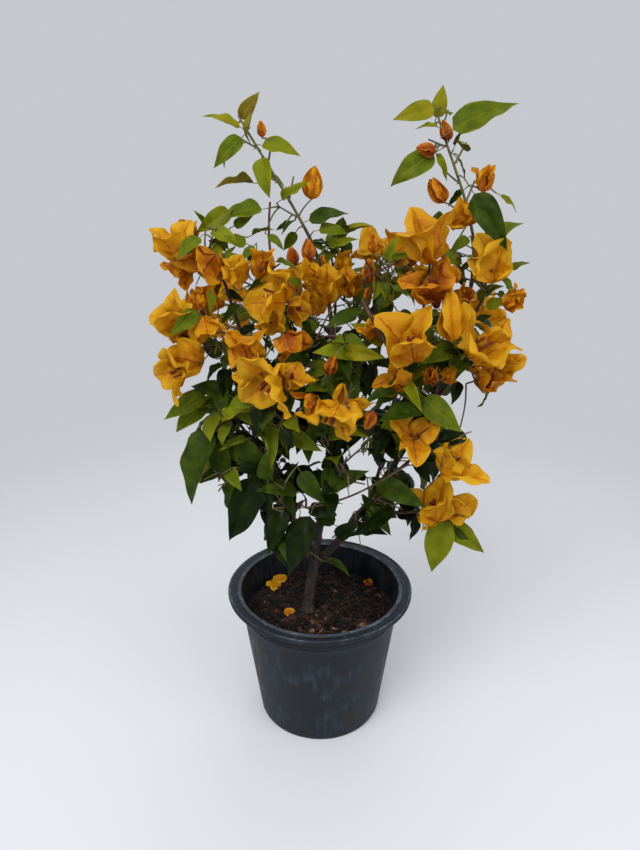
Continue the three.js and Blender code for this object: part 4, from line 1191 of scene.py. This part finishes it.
def bark_relief(seed, depth, node_spacing, lobes=0):
    """Ridges along a limb, a swelling at each of its old nodes, and two lobes that wind round it."""
    place = random.Random(seed)
    offset = Vector((place.uniform(0, 50), place.uniform(0, 50), 0))
    first = place.uniform(0, node_spacing)

    def relief(along, angle):
        around = Vector((math.cos(angle) * 1.9, math.sin(angle) * 1.9, along * 0.055))
        ridges = noise.fractal(around + offset, 0.7, 2.2, 4)
        nearest = (along - first + node_spacing / 2) % node_spacing - node_spacing / 2
        swelling = 0.14 * math.exp(-((nearest / 1.8) ** 2))
        return depth * ridges + swelling + lobes * math.cos(2 * angle - 0.05 * along)

    return relief


def limb_radius(limb):
    """The limb's radius at each share t of its length, wider where it flares at its foot."""
    length = limb.curve.length()
    fade = 7 if limb.flare > 1 else length / 6
    return lambda t: lerp(*limb.radii, t) + limb.flare * math.exp(-fade * t)


def make_limbs(limbs):
    """The trunk, leaders and boughs with their bark, which is old and grey below and reddish above."""
    trunk = Piece("bark_trunk", "bark", ["trunk"], ["old"])
    leaders = Piece("bark_leaders", "bark", list(LEADERS), ["old", "worn", "cane"])
    boughs = Piece("bark_boughs", "bark", list(BOUGHS), ["worn", "cane"])
    # For each piece: its rings' spacing, sides, depth of bark, spacing of old nodes, lobes, and looks.
    kinds = {
        trunk: (1.0, 40, 0.22, 40, 0.14, ["old"]),
        leaders: (2.0, 16, 0.17, 31, 0, ["old", "worn", "cane", "cane"]),
        boughs: (2.0, 11, 0.12, 24, 0, ["worn", "cane"]),
    }
    for seed, (name, limb) in enumerate(limbs.items()):
        piece = trunk if name == "trunk" else leaders if name in LEADERS else boughs
        step, sides, depth, spacing, lobes, names = kinds[piece]
        rings = int(limb.curve.length() / step) + 2
        relief = bark_relief(seed, depth, spacing, lobes)
        points, triangles = tube_shape(limb.curve, limb_radius(limb), rings, sides,
                                       any_reference(limb.curve), relief)
        along = np.minimum(triangles.min(axis=1) / (rings * sides), 0.999)
        piece.add(points, triangles, names, (along * len(names)).astype(int))
    for piece in kinds:
        piece.build()


def make_twigs(growth):
    """The stems, twigs and spurs, and their thorns."""
    twigs = Piece("twigs", "bark", list(MASSES), ["green", "cane"])
    for branch in growth.branches:
        thick, thin = branch.radii
        rings = max(6, int(branch.curve.length() / 2.6))
        relief = bark_relief(len(twigs.points), 0.06, 17) if thick > 1.2 else None
        points, triangles = tube_shape(branch.curve, lambda t: lerp(thick, thin, t), rings, branch.sides,
                                       any_reference(branch.curve), relief)
        twigs.add(points, triangles, [branch.look])
    for root, direction in growth.thorns:
        add_thorn(twigs, root, direction)
    twigs.build()


def make_leaves(growth):
    """The leaves in pieces by height, so that none is too large for the export."""
    blades = draw_blades(LEAF_BLADE)
    shown_blades = draw_blades(SHOWN_BLADE)
    pieces = [Piece(f"leaves_{name}", "foliage", list(MASSES), [*LEAF_TINTS_AND_PAINTED_SHADES, "green"])
              for name in ("low", "middle", "high")]
    ordered = sorted(open_leaves(growth), key=lambda leaf: leaf.root[2])
    for k, leaf in enumerate(ordered):
        add_leaf(pieces[k * len(pieces) // len(ordered)], leaf, shown_blades if leaf.look else blades)
    for piece in pieces:
        piece.build()


def make_blooms(growth):
    """The blooms. Open bracts bulge and turn their points out; closed ones meet at their points."""
    open_blades = draw_blades(BRACT_BLADE)
    bud_blades = draw_blades(BUD_BLADE)
    pieces = [Piece(f"bracts_{name}", "blossom", list(MASSES), BRACT_LOOKS) for name in ("low", "high")]
    flowers = Piece("flowers", "blossom", list(MASSES), ["flower", "flower_star"])
    ordered = sorted(growth.blooms, key=lambda bloom: bloom.root[2])
    for k, bloom in enumerate(ordered):
        blades = bud_blades if bloom.closed else open_blades
        add_bloom(pieces[k * len(pieces) // len(ordered)], flowers, bloom, blades)
    for piece in (*pieces, flowers):
        piece.build()


# Pot and soil.

def wall_radius(z):
    """The radius of the pot's wall at a height."""
    return lerp(POT["base_radius"], POT["top_radius"], z / POT["height"])


def pot_profile():
    """The pot's section as (radius, height, look), from below its middle up and over its lip to inside."""
    top, lip, wall, drop = POT["height"], POT["lip_radius"], POT["wall"], POT["lip_drop"]
    base = POT["base_radius"]
    outside = [(0, 1.2), (46, 1.2), (50, 0.0), (base - 2.2, 0.0), (base - 0.6, 0.7)]
    outside += [(wall_radius(z), z) for z in np.arange(3, 126, 4.0)]
    # Faint rings stand out of the wall below the lip.
    for z in np.arange(128, 145, 4.2):
        outside += [(wall_radius(z), z), (wall_radius(z) + 0.75, z + 1.1), (wall_radius(z), z + 2.4)]
    outside += [(wall_radius(149), 149.2), (wall_radius(150) + 2.5, 150.2), (lip - 3.2, 150.3)]
    outside += [(lip - 2.4, 149.6), (lip - 2.2, top - drop + 0.4), (lip - 1.4, top - drop)]
    outside += [(lip - 0.3, top - drop + 0.6), (lip, top - drop + 1.8), (lip, top - 1.2)]
    ridge = [(lip - 0.7, top - 0.3), (lip - 1.5, top), (lip - 2.2, top - 0.3)]
    groove = [(lip - 3.0, top - 1.3), (lip - 6.5, top - 1.7), (lip - 8.9, top - 1.5)]
    collar = [(lip - 9.8, top - 0.6), (lip - 10.5, top - 0.1), (lip - 11.3, top - 0.3)]
    # The inside takes a darker look, as painted shade in the pot's hollow.
    inside = [(wall_radius(top) - wall + 0.1, top - 1.2), (wall_radius(top) - wall, top - 2.4)]
    inside += [(wall_radius(z) - wall, z) for z in np.arange(top - 8, 4, -6.0)]
    inside += [(wall_radius(3) - wall - 1.5, 3.6), (wall_radius(3) - wall - 3, 3.0), (0, 3.0)]
    # The lip's ridge and collar take a lighter look, partly wear and partly a painted highlight.
    parts = [(outside, "pot_plastic"), (ridge, "pot_edge_wear_and_highlight"), (groove, "pot_plastic"),
             (collar, "pot_edge_wear_and_highlight"), (inside, "pot_inside_painted_shade")]
    return [(r, z, look) for part, look in parts for r, z in part]


def make_pot():
    """The pot, turned from its section and a little out of true, as thin moulded plastic is."""
    sides = 160
    profile = pot_profile()
    angles = np.arange(sides) * 2 * math.pi / sides
    points = []
    for r, z, _ in profile[1:-1]:
        oval = OUT_OF_TRUE["oval"] * (z / POT["height"]) * np.cos(2 * angles + 0.7)
        give = oval + OUT_OF_TRUE["five"] * np.cos(5 * angles + z * 0.02)
        radius = r * (1 + np.where(r > 50, give - OUT_OF_TRUE["oval"] - OUT_OF_TRUE["five"], 0))
        points.append(np.stack([radius * np.cos(angles), radius * np.sin(angles), np.full(sides, z)], 1))
    points.append([[0, 0, profile[0][1]], [0, 0, profile[-1][1]]])
    triangles = capped_triangles(len(profile) - 2, sides)
    pot_looks = list(POT_TINTS)
    codes = [pot_looks.index(profile[1 + min(triangle) // sides][2]) for triangle in triangles]
    pot = Piece("pot_shell", "pot", ["pot"], pot_looks)
    pot.add(np.concatenate(points), np.array(triangles), pot_looks, np.array(codes))
    pot.build(crease=40)


def soil_height(x, y):
    """The soil's surface: nearly level, a little lower at the wall, and lumpy."""
    slope = wall_radius(SOIL["edge_level"]) - SOIL["flat_radius"]
    edge = max(0.0, math.hypot(x, y) - SOIL["flat_radius"]) / slope
    lumps = noise.fractal(Vector((x * 0.06, y * 0.06, 3.0)), 0.6, 2.1, 4)
    return lerp(SOIL["level"], SOIL["edge_level"], edge) - SOIL["sunk"] + SOIL["lumps"] * lumps


def make_soil_bed():
    """A closed body of soil that fills the pot below its lumpy surface."""
    sides, rings = 72, 26
    angles = [2 * math.pi * j / sides for j in range(sides)]
    reach = wall_radius(SOIL["edge_level"]) - POT["wall"] - 0.6
    bottom = SOIL["bottom"]
    low = wall_radius(bottom) - POT["wall"] - 1.5
    points = []
    for i in range(1, rings + 1):
        r = reach * i / rings
        for angle in angles:
            x, y = r * math.cos(angle), r * math.sin(angle)
            points.append([x, y, soil_height(x, y)])
    points += [[low * math.cos(angle), low * math.sin(angle), bottom] for angle in angles]
    points += [[0, 0, soil_height(0, 0)], [0, 0, bottom]]
    triangles = [(a, c, b) for a, b, c in capped_triangles(rings + 1, sides)]
    bed = Piece("soil_bed", "soil", ["soil"], ["earth"])
    bed.add(np.array(points), np.array(triangles), ["earth"])
    bed.build()


def chip_shape():
    """A broken bit of coco husk: a rough lump about one unit long."""
    points = []
    rings, sides = 5, 7
    wide, high = rng.uniform(0.45, 0.9), rng.uniform(0.2, 0.5)
    offset = Vector((rng.uniform(0, 90), 0, 0))
    for i in range(rings):
        x = -0.5 + i / (rings - 1)
        girth = (1 - abs(2 * x) ** 3) * 0.5 + 0.16
        for j in range(sides):
            angle = 2 * math.pi * j / sides
            y, z = math.cos(angle), math.sin(angle)
            rough = girth * (1 + 0.55 * noise.noise(Vector((x * 2.5, y, z)) * 1.7 + offset))
            points.append([x, y * rough * wide, z * rough * high])
    points += [[-0.52, 0, 0], [0.52, 0, 0]]
    return np.array(points), np.array(capped_triangles(rings, sides))


def random_turn(level):
    """A turn about the vertical and then a lean. level is how flat the thing lies, from 0 to 1."""
    yaw = rng.uniform(0, 2 * math.pi)
    x = unit(np.array([math.cos(yaw), math.sin(yaw), rng.uniform(-1, 1) * (1 - level)]))
    z = square_to(x, UP + (1 - level) * np.array([rng.uniform(-1, 1), rng.uniform(-1, 1), 0]))
    return np.stack([x, np.cross(z, x), z])


def make_chips():
    """Coco chips and fibres over the soil, clear of the wall and the trunk."""
    shapes = [chip_shape() for _ in range(CHIPS["shapes"])]
    chips = Piece("soil_chips", "soil", ["soil"], [*CHIP_TINTS, "fibre"])
    reach = wall_radius(SOIL["edge_level"]) - POT["wall"] - CHIPS["from_wall"]
    foot = np.array(TRUNK["foot"][:2])
    for _ in range(CHIPS["number"]):
        radius = reach * math.sqrt(rng.random())
        angle = rng.uniform(0, 2 * math.pi)
        place = np.array([radius * math.cos(angle), radius * math.sin(angle)])
        size = rng.choice(CHIPS["sizes"]) * rng.uniform(0.8, 1.2)
        to_trunk = np.linalg.norm(place - foot)
        if to_trunk < CHIPS["from_trunk"] + size / 2 or radius > reach - size / 2:
            continue
        points, triangles = rng.choice(shapes)
        centre = np.array([*place, soil_height(*place) + size * 0.12])
        look = deal(FRONT_CHIPS if place[1] < CHIPS_TURN_DARK - abs(place[0]) * 0.4 else BACK_CHIPS)
        chips.add(centre + size * (points @ random_turn(0.6)), triangles, [look])
        if size < CHIPS["with_fibre_below"]:
            add_fibre(chips, centre, reach)
    chips.build(crease=35)


def add_fibre(piece, foot, reach):
    """A thin bent strand of coco fibre, unless it would reach the pot's wall."""
    run = random_turn(0.8)[0] * rng.uniform(6, 17)
    x, y, _ = foot + run
    if math.hypot(x, y) > reach:
        return
    tip = np.array([x, y, soil_height(x, y) + rng.uniform(1, 4)])
    curve = Bezier(foot, foot + UP * 2 + run * 0.3, tip - run * 0.3 + UP * 1.5, tip)
    piece.add(*tube_shape(curve, lambda t: 0.34 - 0.14 * t, 6, 4, any_reference(curve)), ["fibre"])


def make_fallen():
    """The bracts that lie on the soil."""
    fallen = Piece("fallen_bracts", "blossom", ["soil"], BRACT_LOOKS)
    for (x, y), length, tone in FALLEN:
        blade = Blade(FALLEN_BLADE)
        direction, _, normal = random_turn(0.9)
        root = np.array([x, y, soil_height(x, y) + 4.5]) - direction * length / 2
        points = blade.placed(root, direction, normal, length)
        fallen.add(points, blade.triangles, bract_names(tone), blade.codes)
    fallen.build()


# The plant and its pot.

limbs = grow_limbs()
growth = Growth()
for mass_name in MASSES:
    grow_mass(growth, mass_name, limbs)
grow_shown(growth, limbs)
for limb_name, limb in limbs.items():
    if limb_name != "trunk":
        grow_spurs(growth, limb)

make_pot()
make_soil_bed()
make_chips()
make_fallen()
make_limbs(limbs)
make_twigs(growth)
make_leaves(growth)
make_blooms(growth)


# Floor, light and camera.

def make_floor():
    """A round pale floor that fades into the backdrop's colour well away from the pot."""
    bpy.ops.mesh.primitive_circle_add(vertices=128, radius=2.2, fill_type="NGON", location=(0, 0, 0))
    floor = bpy.context.object
    floor.name = "floor"
    material, tree, shader = shader_material("floor", 0.9, bump=0)
    shader.inputs["Base Color"].default_value = (0.66, 0.67, 0.69, 1)
    place = add_node(tree, "TexCoord", {}).outputs["Object"]
    distance = add_node(tree, "VectorMath", {0: place}, operation="LENGTH").outputs["Value"]
    ranges = {"Value": distance, "From Min": 0.3, "From Max": 1.1}
    fade = add_node(tree, "MapRange", ranges, interpolation_type="SMOOTHSTEP").outputs["Result"]
    blend_shaders(tree, fade, shader, add_node(tree, "BsdfTransparent", {}))
    floor.data.materials.append(material)


def add_lamp(name, place, size, power, aim=(0, 0, 0.33)):
    """A square lamp that looks at the crown."""
    lamp = bpy.data.lights.new(name, "AREA")
    lamp.size = size
    lamp.energy = power
    obj = bpy.data.objects.new(name, lamp)
    obj.location = place
    obj.rotation_euler = (Vector(aim) - Vector(place)).to_track_quat("-Z", "Y").to_euler()
    bpy.context.scene.collection.objects.link(obj)


def make_camera():
    """The photograph's camera."""
    data = bpy.data.cameras.new("camera")
    data.sensor_width = 36
    data.lens = data.sensor_width * CAMERA["focal"] / FRAME_HEIGHT
    camera = bpy.data.objects.new("camera", data)
    camera.location = np.array(CAMERA["place"]) * MM
    camera.rotation_euler = (math.radians(90 - CAMERA["pitch"]), 0, 0)
    bpy.context.scene.collection.objects.link(camera)
    bpy.context.scene.camera = camera


def make_backdrop():
    """A pale bluish wall of light all round."""
    world = bpy.data.worlds.new("studio")
    world.use_nodes = True
    background = world.node_tree.nodes["Background"]
    background.inputs["Color"].default_value = (0.80, 0.825, 0.87, 1)
    background.inputs["Strength"].default_value = 0.7
    bpy.context.scene.world = world
    bpy.context.scene.view_settings.view_transform = "Standard"


make_floor()
# Each lamp's name, its place and size in metres, and its power in watts.
add_lamp("key", (-0.7, -1.3, 1.8), 1.4, 34)
add_lamp("fill", (1.3, -1.2, 1.1), 1.6, 14)
add_lamp("back", (0.3, 1.5, 1.6), 1.4, 8)
make_backdrop()
make_camera()
